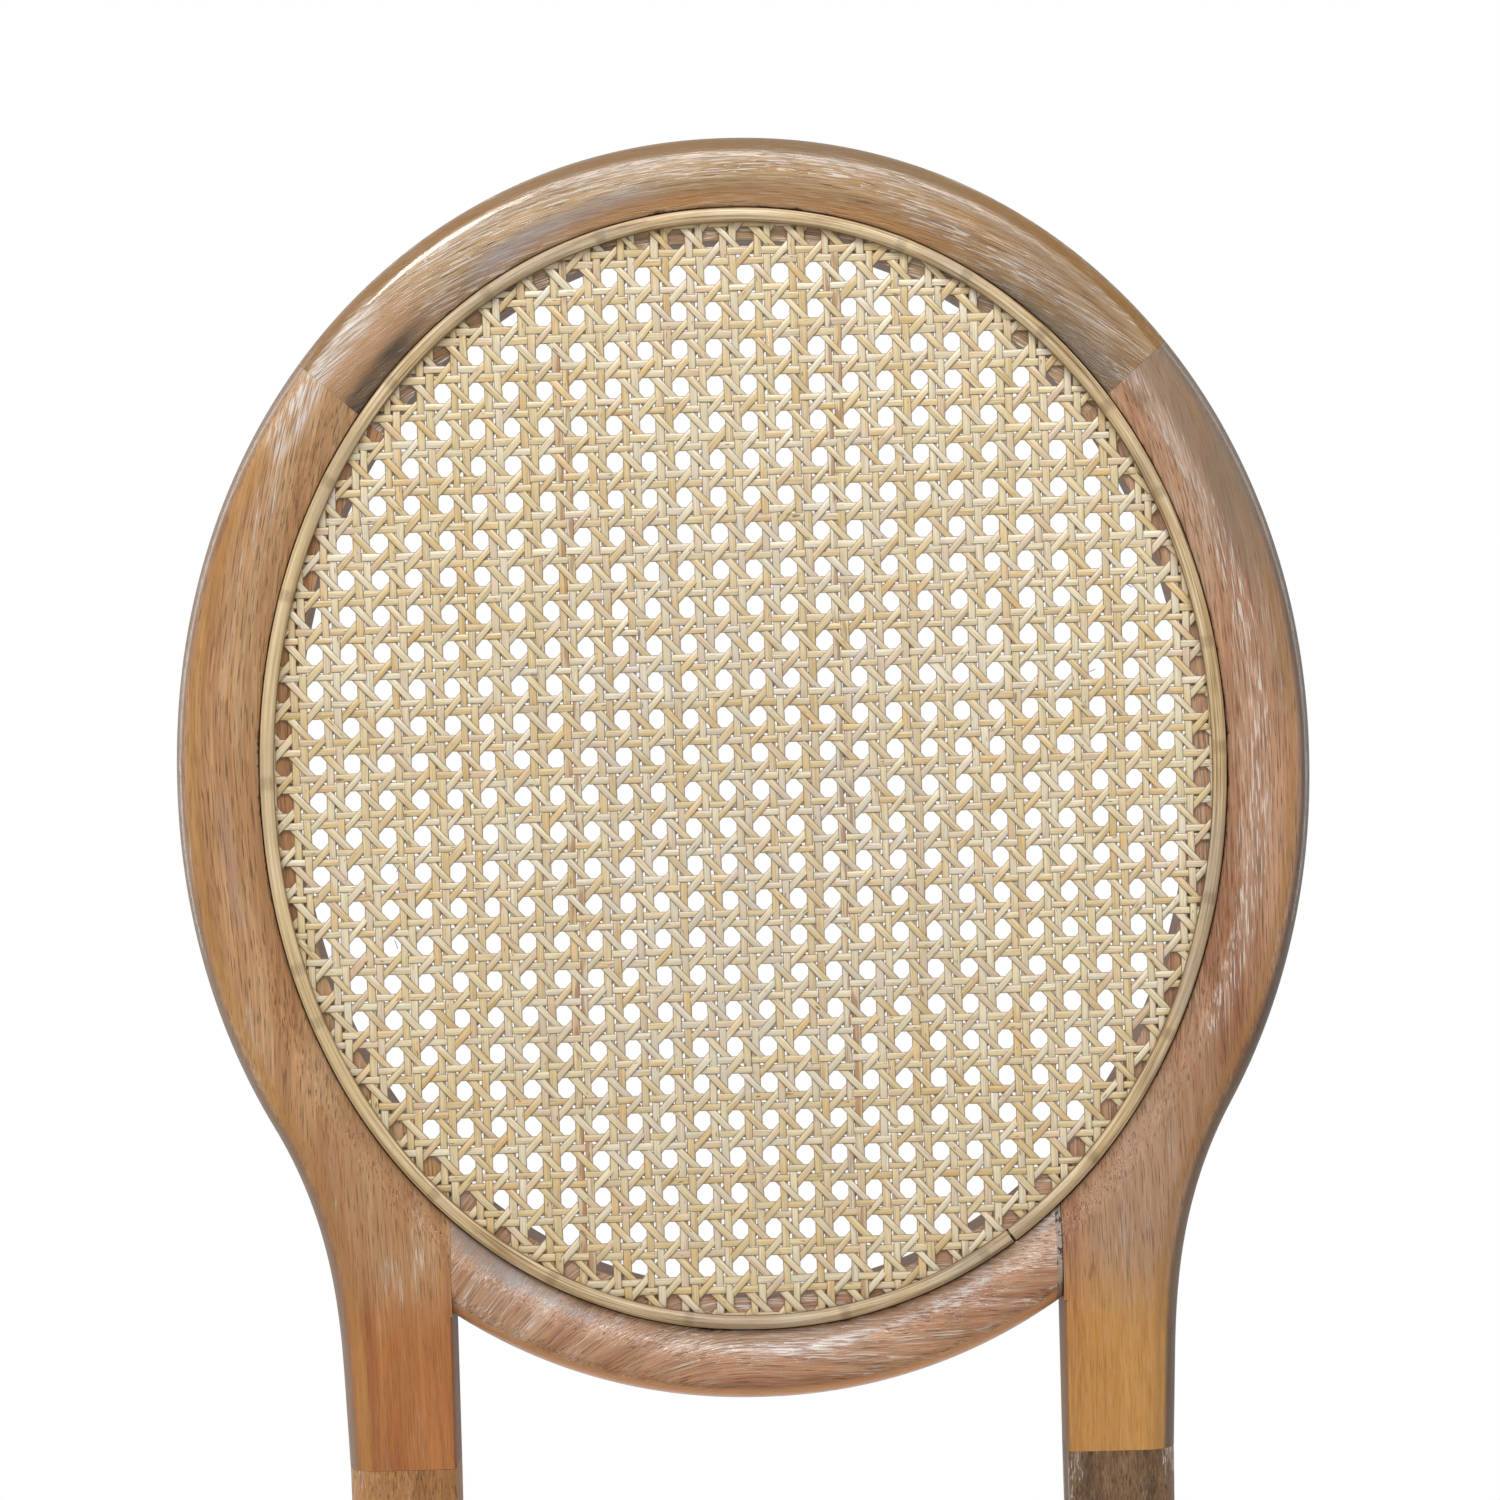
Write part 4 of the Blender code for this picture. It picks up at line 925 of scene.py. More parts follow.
side_thick = rail_thick / math.cos(side_lean)
side_run = [Vector((side_outer(y), y)) for y in np.linspace(side_rear, side_front, 41)]
side_back = [Vector((p.x - side_thick, p.y)) for p in reversed(side_run)]
front_run = [Vector((x, front_outer(x))) for x in np.linspace(-front_half, front_half, 61)]
front_back = [Vector((p.x, p.y + rail_thick)) for p in reversed(front_run)]
rear_half = leg_section[0] - 0.0003
seat_rails = [
    seat_rail("side_rail_right", side_run, side_back, "seat_rail_right"),
    seat_rail("side_rail_left", mirrored(side_run), mirrored(side_back), "seat_rail_left"),
    seat_rail("front_rail", front_run, front_back, "seat_rail_front"),
    seat_rail("rear_rail", [Vector((-rear_half, rear_rail_front)), Vector((rear_half, rear_rail_front))],
              [Vector((rear_half, rear_rail_front + rail_thick)),
               Vector((-rear_half, rear_rail_front + rail_thick))], "seat_rail_rear")]
print("four seat rails")

# %% [markdown]
# ## Upholstered seat
# Foam on a plywood deck, covered in linen that is pulled down and stapled under the edge, with a
# cloth-covered cord round the foot of the cover. Foam under tight cloth is round because it pushes
# from inside, so the pad starts as a slightly small block, is rebuilt as an even net and is blown up
# a little as cloth. Its foot is held, as the staples hold it.

# %% Plan of the seat pad
deck_low = rail_top + 0.0003
pad_inset, draw_in = 0.006, 0.0012
pad_top, pad_crown = rail_top + 0.034, 0.016
pad_middle = -0.208
edge_high = 0.018
corner_reach, post_gap = 0.030, 0.0065


def fillet(before, corner, after, radius, steps):
    """Round one corner of a plan."""
    start = corner + (before - corner).normalized() * radius
    end = corner + (after - corner).normalized() * radius
    return [bent(start, corner, end, s) for s in np.linspace(0, 1, steps)]


def pad_plan(inset):
    """The seat from above, set in from the outer faces of the rails."""
    deeper = inset - pad_inset
    corner_x = side_outer(front_face) - inset
    corner = Vector((corner_x, front_outer(corner_x) + inset))
    start = Vector((corner_x - corner_reach, front_outer(corner_x - corner_reach) + inset))
    finish_y = corner.y + corner_reach
    finish = Vector((side_outer(finish_y) - inset, finish_y))
    notch_y = -leg_section[2] / 2 - post_gap - deeper
    notch_x = leg_section[0] - post_gap - deeper
    rear_y = rear_rail_front + rail_thick - inset
    right = [Vector((x, front_outer(x) + inset)) for x in np.linspace(0, start.x, 30)[:-1]]
    right += [bent(start, corner, finish, s) for s in np.linspace(0, 1, 12)]
    right += [Vector((side_outer(y) - inset, y)) for y in np.linspace(finish_y, notch_y + 0.006, 30)[1:]]
    notch_outer = Vector((side_outer(notch_y) - inset, notch_y))
    notch_inner = Vector((notch_x, notch_y))
    rear_corner = Vector((notch_x, rear_y))
    right += fillet(right[-1], notch_outer, notch_inner, 0.005, 6)
    right += fillet(notch_outer, notch_inner, rear_corner, 0.003, 5)
    right += fillet(notch_inner, rear_corner, Vector((0, rear_y)), 0.005, 6)
    right += [Vector((notch_x * s, rear_y)) for s in np.linspace(0.9, 0, 16)]
    return [*right, *mirrored(right)[1:-1]]


def pad_skin(name, shrink):
    """The block of foam before it swells: a drawn-in foot, a rounded edge and a low crown."""
    plan = pad_plan(pad_inset + shrink - 0.0015)
    foot_plan = pad_plan(pad_inset + draw_in)
    middle = Vector((0, pad_middle))
    rings = [[(*p, deck_low) for p in foot_plan],
             [(*p, deck_low + 0.004) for p in foot_plan],
             [(*p.lerp(q, 0.6), deck_low + 0.010) for p, q in zip(foot_plan, plan)],
             [(*p, deck_low + edge_high) for p in plan]]
    for turn in np.linspace(0.2, 1, 6):
        angle = turn * math.pi / 2
        level = deck_low + edge_high + (pad_top - deck_low - edge_high - shrink) * math.sin(angle)
        drawn = edge_high * (1 - math.cos(angle))
        rings.append([(*(p - (p - middle).normalized() * drawn), level) for p in plan])
    edge_ring = [Vector(p[:2]) for p in rings[-1]]
    for size in (0.93, 0.84, 0.72, 0.56, 0.38, 0.2, 0.08):
        level = pad_top - shrink + (pad_crown - shrink) * (1 - size ** 2.4)
        rings.append([(*(middle + (p - middle) * size), level) for p in edge_ring])
    return skin(name, rings, seat_place)


pad = pad_skin("seat_cushion", 0.0035)
print("pad block", [round(v * 1000) for v in pad.dimensions], "mm")

# %% Blow the pad up as cloth
def swell_as_cloth(piece, voxel, frames, pressure, cap, held_below):
    """Blow a mesh up as cloth with its foot held, and let no point move further than the cap."""
    remesh = piece.modifiers.new("even_net", "REMESH")
    remesh.mode = "VOXEL"
    remesh.voxel_size = voxel
    apply_modifiers(piece)
    before = corner_values(piece.data)
    held = piece.vertex_groups.new(name="stapled")
    held.add([int(i) for i in np.nonzero(before[:, 2] < held_below)[0]], 1.0, "REPLACE")
    settings = piece.modifiers.new("cloth", "CLOTH").settings
    settings.effector_weights.gravity = 0
    settings.use_pressure, settings.uniform_pressure_force = True, pressure
    settings.tension_stiffness = settings.compression_stiffness = 25
    settings.bending_stiffness = 3
    settings.vertex_group_mass = held.name
    for step in range(1, frames + 1):
        bpy.context.scene.frame_set(step)
    move = corner_values(evaluated(piece).data) - before
    far = np.linalg.norm(move, axis=1, keepdims=True)
    move *= cap * np.tanh(far / cap) / np.maximum(far, 1e-9)
    piece.modifiers.clear()
    piece.vertex_groups.clear()
    piece.data.vertices.foreach_set("co", (before + move).ravel())
    bpy.context.scene.frame_set(1)
    print("cloth moved at most", round(float(far.max()) * 1000, 1), "mm before the cap")
    smooth = piece.modifiers.new("smooth", "SMOOTH")
    smooth.iterations = 8
    finer = piece.modifiers.new("finer", "SUBSURF")
    finer.levels = finer.render_levels = 1
    apply_modifiers(piece)


swell_as_cloth(pad, voxel=0.005, frames=20, pressure=4.0, cap=0.006, held_below=deck_low + 0.004)
print("pad after swelling", [round(v * 1000) for v in pad.dimensions], "mm")

# %% [markdown]
# Tight linen is never quite even: each staple pulls a small pucker, and spare cloth at the front
# corners is folded into a pleat. These are pushed into the net by formula once the pad has its
# shape. The bottom is then opened and the skin is given the thickness of cloth.

# %% Puckers, corner pleats and cloth thickness
cloth_thick = 0.0012
pucker_pitch, fine_pitch, pucker_depth = 0.021, 0.0133, 0.00045
# Mean distance of the edge and distance of the front corners from the middle of the pad.
edge_away, corner_away = 0.215, 0.29
# Offset from the corner and depth of each fold of a pleat.
pleat_folds = ((-0.012, 0.0011), (0.012, 0.0011), (0, 0.0018))
front_corner = (0.2, -0.412)


def dress_pad(piece):
    """Press puckers and pleats into the cover, open it below and give it the thickness of cloth."""
    place = corner_values(piece.data)
    normal = corner_values(piece.data, "normal")
    side = np.clip(1 - np.abs(normal[:, 2]) * 1.3, 0, 1)
    high = place[:, 2] - deck_low
    near_foot = np.exp(-((high - 0.008) / 0.011) ** 2) * side
    way = np.arctan2(place[:, 1] - pad_middle, place[:, 0])
    girth = way * edge_away
    puckers = (np.sin(girth * 2 * math.pi / pucker_pitch + 1.5 * np.sin(girth * 23))
               + 0.5 * np.sin(girth * 2 * math.pi / fine_pitch + 2.2 * np.sin(girth * 31)))
    move = pucker_depth * puckers * near_foot
    for _, sign in sides:
        corner_way = math.atan2(front_corner[1] - pad_middle, sign * front_corner[0])
        for offset, depth in pleat_folds:
            aside = (way - corner_way) * corner_away - offset * (0.4 + high / 0.05)
            move -= depth * np.exp(-(aside / 0.0026) ** 2) * side * np.exp(-(high / 0.026) ** 4)
    move += 0.0004 * np.sin(place[:, 0] * 41 + 2 * np.sin(place[:, 1] * 27)) * (1 - side)
    piece.data.vertices.foreach_set("co", (place + normal * move[:, None]).ravel())
    with editing(piece.data) as work:
        under = [face for face in work.faces if face.normal.z < -0.8
                 and face.calc_center_median().z < deck_low + 0.003]
        bmesh.ops.delete(work, geom=under, context="FACES")
    cloth_skin = piece.modifiers.new("cloth_skin", "SOLIDIFY")
    cloth_skin.thickness, cloth_skin.offset = cloth_thick, -1
    apply_modifiers(piece)
    piece.data.shade_smooth()


dress_pad(pad)
stand_for(pad, "seat_cover", "seat_foam")
print("cushion", len(pad.data.polygons), "faces")

# %% Piping round the foot of the cover
def even_path(points, spacing):
    """Points of a closed path at an even spacing."""
    track = np.array([tuple(p) for p in points] + [tuple(points[0])])
    length = np.concatenate([[0], np.cumsum(np.linalg.norm(np.diff(track, axis=0), axis=1))])
    count = int(length[-1] / spacing)
    marks = np.linspace(0, length[-1], count, endpoint=False)
    return np.stack([np.interp(marks, length, track[:, k]) for k in (0, 1)], axis=1), length[-1]


piping_radius = 0.0024
track, girth = even_path(pad_plan(pad_inset + draw_in - piping_radius - 0.0004), 0.0012)
onward = np.roll(track, -1, axis=0) - np.roll(track, 1, axis=0)
outward = np.stack([onward[:, 1], -onward[:, 0]], axis=1) / np.linalg.norm(onward, axis=1)[:, None]
rings, values = [], []
ring_steps = 16
for number, (spot, out) in enumerate(zip(track, outward)):
    run = number / len(track) * girth
    ring = []
    for turn in range(ring_steps):
        about = 2 * math.pi * turn / ring_steps
        bump = 1 + 0.035 * math.sin(2 * math.pi * run / 0.0045 + about) + 0.015 * math.sin(run * 190)
        reach = piping_radius * bump
        ring.append((*(spot + out * reach * math.cos(about)),
                     deck_low + piping_radius + 0.0001 + reach * 0.97 * math.sin(about)))
        values.append((run, about / (2 * math.pi), 0))
    rings.append(ring)
piping = stand_for(skin("seat_piping", rings, seat_place, closed=True, angle=60), "seat_welt")
store_strand(piping.data, values)
print("piping", round(girth, 3), "m round the seat")

# %% [markdown]
# ## Under the seat
# A thin black cloth keeps the dust in. It is stretched between the rails, so it is nearly flat, with
# a slight sag and shallow ripples. Two screws through each corner block pull it into the corner, and
# one more holds the deck down.

# %% Dust cloth
cloth_low, cloth_high = (Vector(corner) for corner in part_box("dust_cloth"))
net, sag, ripple_high = 0.008, 0.0012, 0.00025
span, centre = (cloth_high - cloth_low) / 2, (cloth_high + cloth_low) / 2
sag_mesh = bpy.data.meshes.new("dust_cambric")
with editing(sag_mesh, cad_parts["dust_cloth"].data) as work:
    top_level = max(corner.co.z for corner in work.verts)
    bmesh.ops.delete(work, geom=[face for face in work.faces if face.normal.z < 0.9], context="FACES")
    bmesh.ops.remove_doubles(work, verts=work.verts, dist=0.00001)
    bmesh.ops.dissolve_limit(work, angle_limit=0.01, verts=work.verts, edges=work.edges)
    area = sum(face.calc_area() for face in work.faces)
    for axis, way in ((0, Vector((1, 0, 0))), (1, Vector((0, 1, 0)))):
        for cut in np.arange(cloth_low[axis] + net, cloth_high[axis], net):
            bmesh.ops.bisect_plane(work, geom=[*work.verts, *work.edges, *work.faces], dist=0.00001,
                                   plane_co=way * cut, plane_no=way)
    for corner in work.verts:
        u, v = (corner.co.x - centre.x) / span.x, (corner.co.y - centre.y) / span.y
        free = max(0, 1 - u * u) * max(0, 1 - v * v)
        ripple = math.sin(corner.co.x * 70 + 2 * math.sin(corner.co.y * 31)) * ripple_high
        corner.co.z = top_level - 0.0003 - free * sag + ripple * min(1, 4 * free)
sag_mesh.shade_smooth()
cambric = stand_for(add_object("dust_cambric", sag_mesh, Matrix.Identity(4)), "dust_cloth")
print("dust cloth", round(area, 4), "square metres")

# %% Screws
deck_size = (0.0042, 0.0025, 0.002, 0.036)
block_size = (0.0038, 0.0022, 0.0018, 0.010)
block_screw_level, block_screw_spread = 0.425, 0.012


def screw(name, size, place, *cad_nodes):
    """A round-headed screw with a cross recess; its head faces up its own Z axis."""
    head_radius, head_high, shank_radius, shank = size
    profile = [(0.0002, -shank), (shank_radius * 0.5, -shank + 0.0012), (shank_radius, -shank + 0.004),
               (shank_radius, 0), (head_radius * 0.96, 0), (head_radius, 0.0003)]
    profile += [(head_radius * math.cos(t), 0.0003 + (head_high - 0.0003) * math.sin(t))
                for t in np.linspace(0.15, 1.5, 8)]
    piece = turned(name, profile, 40, place, 40)
    slot = Matrix.Translation((0, 0, head_high)) @ Matrix.Diagonal((head_radius * 1.05, head_radius * 0.24,
                                                                    head_high * 1.1, 1))
    recess_mesh = bpy.data.meshes.new(name + "_recess")
    with editing(recess_mesh) as work:
        for turn in (0, math.pi / 2):
            bmesh.ops.create_cube(work, size=1, matrix=Matrix.Rotation(turn, 4, "Z") @ slot)
    recess = add_object(name + "_recess", recess_mesh, place)
    cut_away(piece, recess, cutter_overlaps=True)
    bpy.data.objects.remove(recess)
    soft_shading(piece, 35)
    return stand_for(piece, *cad_nodes)


screws = []
for end, side in (("front", "left"), ("front", "right"), ("rear", "left"), ("rear", "right")):
    cad = f"seat_screw_{end}_{side}"
    low, high = (Vector(corner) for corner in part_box(cad))
    head_down = Matrix.Translation(((low.x + high.x) / 2, (low.y + high.y) / 2, low.z + deck_size[1])) \
        @ Matrix.Rotation(math.pi, 4, "X")
    screws.append(screw(f"deck_screw_{end}_{side}", deck_size, head_down, cad))
    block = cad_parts[f"corner_block_{end}_{side}"].data
    faces = [face for face in block.polygons if abs(face.normal.z) < 0.1]
    inner = max(faces, key=lambda f: f.area)
    way = Vector(inner.normal)
    along = Vector((-way.y, way.x, 0))
    corners = [Vector(block.vertices[i].co) for face in faces
               if (face.normal - inner.normal).length < 0.01 for i in face.vertices]
    middle = (max(corners, key=along.dot) + min(corners, key=along.dot)) / 2
    middle.z = block_screw_level
    for number, reach in enumerate((-block_screw_spread, block_screw_spread), 1):
        face_out = Matrix.Translation(middle + along * reach) @ facing(way)
        screws.append(screw(f"block_screw_{end}_{side}_{number}", block_size, face_out))
print(len(screws), "screws")

# %% [markdown]
# ## Limed wood
# The frame is a red-brown hardwood, wire-brushed so that its soft grain stands back, stained, then
# rubbed with white wax that stays in the open pores, and lacquered to a satin gloss. One function
# builds that finish from the inside out: a slow change of tone along the board, fine fibres, open
# pores, wax in some of them, and the same fibres again as relief. Each board has its own grain
# direction, so the function is told which way the board runs.

# %% Tones and noise that follows the grain
def tone(red, green, blue):
    """A colour as read off a screen, turned into the linear values that nodes use."""
    return tuple(((c / 255 + 0.055) / 1.055) ** 2.4 if c > 10 else c / 255 / 12.92
                 for c in (red, green, blue))


def scaled(parts, scales):
    """A vector made of three values, each with its own scale."""
    return node(tree_of(*parts), "CombineXYZ", inputs={
        index: times(part, scale)
        for index, (part, scale) in enumerate(zip(parts, scales))}).outputs[0]


def noise(parts, scales, detail=2.0, rough=0.55, twist=0.0):
    return node(tree_of(*parts), "TexNoise", inputs={
        "Vector": scaled(parts, scales), "Scale": 1.0, "Detail": detail, "Roughness": rough,
        "Distortion": twist}).outputs[0]


def ramp(value, stops):
    """Colours at places from 0 to 1, blended in between."""
    made = node(tree_of(value), "ValToRGB", inputs={0: value})
    knots = made.color_ramp.elements
    while len(knots) < len(stops):
        knots.new(0.5)
    for knot, (place_on_ramp, colour) in zip(knots, stops):
        knot.position = place_on_ramp
        knot.color = (*tone(*colour), 1)
    return made.outputs[0]


def total(*parts):
    """The weighted sum of (value, weight) pairs."""
    whole = math_node("MULTIPLY", *parts[0])
    for value, weight in parts[1:]:
        whole = math_node("MULTIPLY_ADD", value, weight, whole)
    return whole


def absolute(value):
    return math_node("ABSOLUTE", value)


def own_place(tree, kind="Object"):
    """The three parts of a point's own place, or of its normal when kind is Normal."""
    return node(tree, "SeparateXYZ", inputs={0: node(tree, "TexCoord").outputs[kind]}).outputs


def tinted(colour, share, *rgb):
    """A colour with a share of a tone laid over it."""
    return blend_colour(share, colour, tone(*rgb))


def shaded(colour, grey):
    """A colour times one grey value."""
    grey_colour = node(tree_of(grey), "CombineColor", inputs={index: grey for index in range(3)}).outputs[0]
    return blend_colour(1.0, colour, grey_colour, "MULTIPLY")


def grain_frame(spot, along, bow=0.0, tilt=0.0, bow_side=0):
    """A piece's own coordinates as (along the grain, across it, through it)."""
    length, across, depth = (spot[index] for index in {"X": (0, 1, 2), "Y": (1, 0, 2),
                                                       "Z": (2, 0, 1)}[along])
    drift = noise((length, across, depth), (5, 9, 9), 1.0)
    bent_part = length
    if bow_side:
        bent_part = math_node("MAXIMUM" if bow_side > 0 else "MINIMUM", length, 0.0)
    across = total((across, 1), (times(bent_part, bent_part), bow), (length, tilt), (drift, 0.012))
    return length, across, depth


print("tone(176, 135, 95) is", [round(v, 3) for v in tone(176, 135, 95)])

# %% [markdown]
# On the oval the wear and some painted light follow the shape as much as the grain: the round outer edge gets
# tints that are partly thin stain and partly painted sheen and shade, dirt and painted shade gather beside the
# spline, wax was left as grey smears near the joints, and painted highlights run along the hollow and the
# ridge.
# So the function also works out where a point is on the ring: how far it is from the spline, and its direction
# on the clock.

# %% Where a point is on the ring
def ring_place(spot):
    """How far a point lies outside the spline, and the unit vector from the middle of the oval."""
    tree = tree_of(*spot)
    share = node(tree, "CombineXYZ", inputs={
        index: math_node("DIVIDE", spot[index], cane_half[index]) for index in (0, 1)})
    size = over_vector("LENGTH", share.outputs[0])
    outside = total((size, mean_radius), (1.0, -mean_radius))
    flat = node(tree, "CombineXYZ", inputs={0: spot[0], 1: spot[1]}).outputs[0]
    return outside, node(tree, "VectorMath", operation="NORMALIZE", inputs={0: flat}).outputs[0]


def toward_clock(way, clock, spread):
    """1 at one direction, fading to 0 at spread degrees to either side; 0 is up, 90 is right."""
    turn = math.radians(clock)
    near = over_vector("DOT_PRODUCT", way, (math.sin(turn), math.cos(turn), 0))
    return remap(near, math.cos(math.radians(spread)), math.cos(math.radians(spread * 0.35)))


def band(value, low, high, soft):
    """1 between low and high, with soft edges."""
    return times(remap(value, low - soft, low + soft), remap(value, high - soft, high + soft, 1, 0))


def outward_tilt(spot, post):
    """How far the surface turns towards the outer edge of the frame, 0 on its face and 1 at the edge."""
    tree = tree_of(*spot)
    faded = times(spot[1], 0.85, remap(spot[1], -0.2, -0.1) if post else 1.0)
    flat = node(tree, "CombineXYZ", inputs={0: spot[0], 1: faded}).outputs[0]
    out = node(tree, "VectorMath", operation="NORMALIZE", inputs={0: flat}).outputs[0]
    return over_vector("DOT_PRODUCT", out, node(tree, "TexCoord").outputs["Normal"])


print("ring helpers ready")

# %% Wear that follows the ring
# Red values that tell pale streaks (wax, and painted highlights laid like wax) and smears of soot from a plain
# stain.
palest_smear, darkest_smear = 205, 110


def ring_wear(colour, spot, cloud, fibre, dash, brush, post, hollow_shade, rim, patches):
    """Painted shade in the hollow and on inward walls, rim tints partly worn and partly painted light, smears
    and painted highlights, and dirt with painted shade beside the reed.
    """
    outside, way = ring_place(spot)
    front = remap(spot[2], -0.006, 0.003)
    on_ring = times(front, remap(spot[1], -0.225, -0.2) if post else 1.0)
    shade = times(band(outside, 0.0, 0.007, 0.003), hollow_shade)
    colour = tinted(colour, times(shade, on_ring), 112, 84, 50)
    turned_out = outward_tilt(spot, post)
    # Rim tints: partly stain and wear, partly painted sheen, reflection and shade on the round edges.
    for low, high, soft, strength, tint in rim:
        rim_wear_and_light = times(band(turned_out, low, high, soft), times(front, strength))
        colour = tinted(colour, rim_wear_and_light, *tint)
    # Painted shade: surfaces that turn in towards the opening are darkened.
    colour = tinted(colour, remap(turned_out, -0.5, -0.85, 0, 0.65), 92, 62, 40)
    # Patches: stains and smears, and pale ones that are painted highlights.
    for clock, spread, low, high, strength, smear in patches:
        if smear[0] > palest_smear:
            broken = remap(total((dash, 0.85), (brush, 0.15)), 0.49, 0.56, 0.14, 1.0)
        elif smear[0] < darkest_smear:
            broken = remap(cloud, 0.36, 0.5, 0.75, 1.0)
        else:
            broken = remap(total((cloud, 0.5), (fibre, 0.5)), 0.36, 0.62, 0.5, 1.0)
        where = times(front, toward_clock(way, clock, spread),
                      band(outside, low / 1000, high / 1000, 0.0022))
        colour = tinted(colour, times(where, broken, strength), *smear)
    # Dirt and painted shade beside the reed: an uneven dark band stands for grime and for the shade of the
    # groove and its gap.
    uneven = noise(spot, (150, 150, 150), 4.0, 0.7)
    beside_reed = band(total((outside, 1), (uneven, 0.004), (1.0, -0.0014)), -0.0006, 0.0012, 0.0006)
    dirt_and_groove_shade = times(beside_reed, remap(uneven, 0.34, 0.56, 1.0, 0.5))
    return tinted(colour, times(dirt_and_groove_shade, on_ring), 62, 42, 26), way, turned_out


print("ring wear ready")

# %% The wood itself
gloss = 0.33


def limed_wood(name, along, tones, limed=0.4, bow=0.0, tilt=0.0, bow_side=0, ring=False, patches=(),
               post=None, rim=(), lime_zone=None, polished=None, hollow_shade=0.15, face_axis=2,
               added=None):
    """Wood of one board, told by its grain and tones first and by its wear and painted light after that."""
    material, tree, shader = new_material(name)
    spot = own_place(tree)
    grain = grain_frame(spot, along, bow, tilt, bow_side)
    broad = noise(grain, (5, 46, 30), 2.5)
    stripe = noise(grain, (9, 330, 210), 3.0, 0.6)
    fibre = noise(grain, (45, 1700, 1300), 2.0, 0.6)
    dash = noise(grain, (90, 1900, 1500), 1.0, 0.5)
    brush = noise(grain, (42, 850, 700), 2.0, 0.5)
    cloud = noise(grain, (13, 105, 90), 3.0, 0.62, 0.5)
    mix = total((broad, 1.1), (stripe, 0.55), (1.0, -0.33))
    colour = ramp(mix, ((0.25, tones[0]), (0.5, tones[1]), (0.78, tones[2])))
    grey = remap(total((fibre, 0.6), (brush, 0.4)), 0.3, 0.7, 0.66, 1.26, smooth=False)
    pores = times(remap(dash, 0.40, 0.33), 0.6)
    zone = remap(cloud, 0.62 - 0.35 * limed, 0.80 - 0.25 * limed)
    if lime_zone:
        zone = lime_zone(spot, zone)
    if post:
        # Below the oval the post is cleaner: other tones, weaker fibres, little wax.
        below = remap(spot[1], -0.165, -0.205)
        colour = blend_colour(below, colour, ramp(mix, ((0.3, post[0]), (0.7, post[1]))))
        contrast = total((below, -0.55), (1.0, 1.0))
        grey = total((times(total((grey, 1), (1.0, -1)), contrast), 1), (1.0, 1.0))
        clean = total((below, -0.75), (1.0, 1.0))
        pores, zone = times(pores, clean), times(zone, clean)
    colour = tinted(shaded(colour, grey), pores, *[c * 0.55 for c in tones[0]])
    colour = tinted(colour, times(zone, 0.24), 204, 184, 170)
    streak = math_node("MAXIMUM", remap(dash, 0.57, 0.61), times(remap(brush, 0.60, 0.66), 0.35))
    wax = times(streak, remap(zone, 0.0, 0.6, 0.2 * limed, 0.45 + 0.6 * limed))
    colour = tinted(colour, wax, 240, 230, 218)
    facing_out = absolute(own_place(tree, "Normal")[face_axis])
    lacquer = remap(facing_out, 0.0, 0.45, 0.2, 1.0)
    polish = 0.3
    if ring:
        colour, way, turned_out = ring_wear(colour, spot, cloud, fibre, dash, brush, post, hollow_shade,
                                            rim, patches)
        smooth_edge = band(turned_out, 0.26, 0.8, 0.07)
        if polished:
            window = toward_clock(way, *polished)
            smooth_edge = times(smooth_edge, remap(window, 0, 1, 0.1, 1))
            worn = times(band(turned_out, 0.05, 0.9, 0.08), total((window, -0.6), (1.0, 0.6)))
            lacquer = times(lacquer, total((worn, -1.0), (1.0, 1.0)))
        polish = remap(smooth_edge, 0, 1, 0.62, 0.04)
    if added:
        colour = added(spot, colour)
    relief = total((fibre, 0.3), (brush, 0.6), (stripe, 0.15), (remap(dash, 0.42, 0.33), -0.35),
                   (streak, -0.2))
    rough = total((fibre, 0.22), (wax, 0.15), (1.0, gloss - 0.11))
    finish_shader(tree, shader, colour, rough, relief, 0.75, 0.0004)
    coat_bump = node(tree, "Bump", inputs={"Strength": polish, "Distance": 0.0003, "Height": relief})
    for socket, value in (("Coat Weight", lacquer), ("Coat Normal", coat_bump.outputs[0]),
                          ("Coat Roughness", remap(cloud, 0.42, 0.66, 0.07, 0.2)),
                          ("Specular IOR Level", remap(facing_out, 0.05, 0.5, 0.08, 0.3))):
        tree.links.new(value, shader.inputs[socket])
    return material


def finish_with(material, *pieces):
    for piece in pieces:
        piece.data.materials.clear()
        piece.data.materials.append(material)


def right_face_zone(spot, zone):
    """Wax in a narrow band down the middle of the right stile, from the crest joint to the sweep."""
    outside = ring_place(spot)[0]
    held = times(band(spot[1], -0.10, 0.15, 0.02), band(outside, 0.009, 0.0165, 0.002))
    return math_node("MAXIMUM", times(zone, 0.3), times(held, remap(zone, 0, 1, 0.6, 1)))


grey_smear, lilac, chalk_and_sheen, soot = (150, 144, 138), (186, 176, 178), (216, 211, 206), (98, 86, 70)
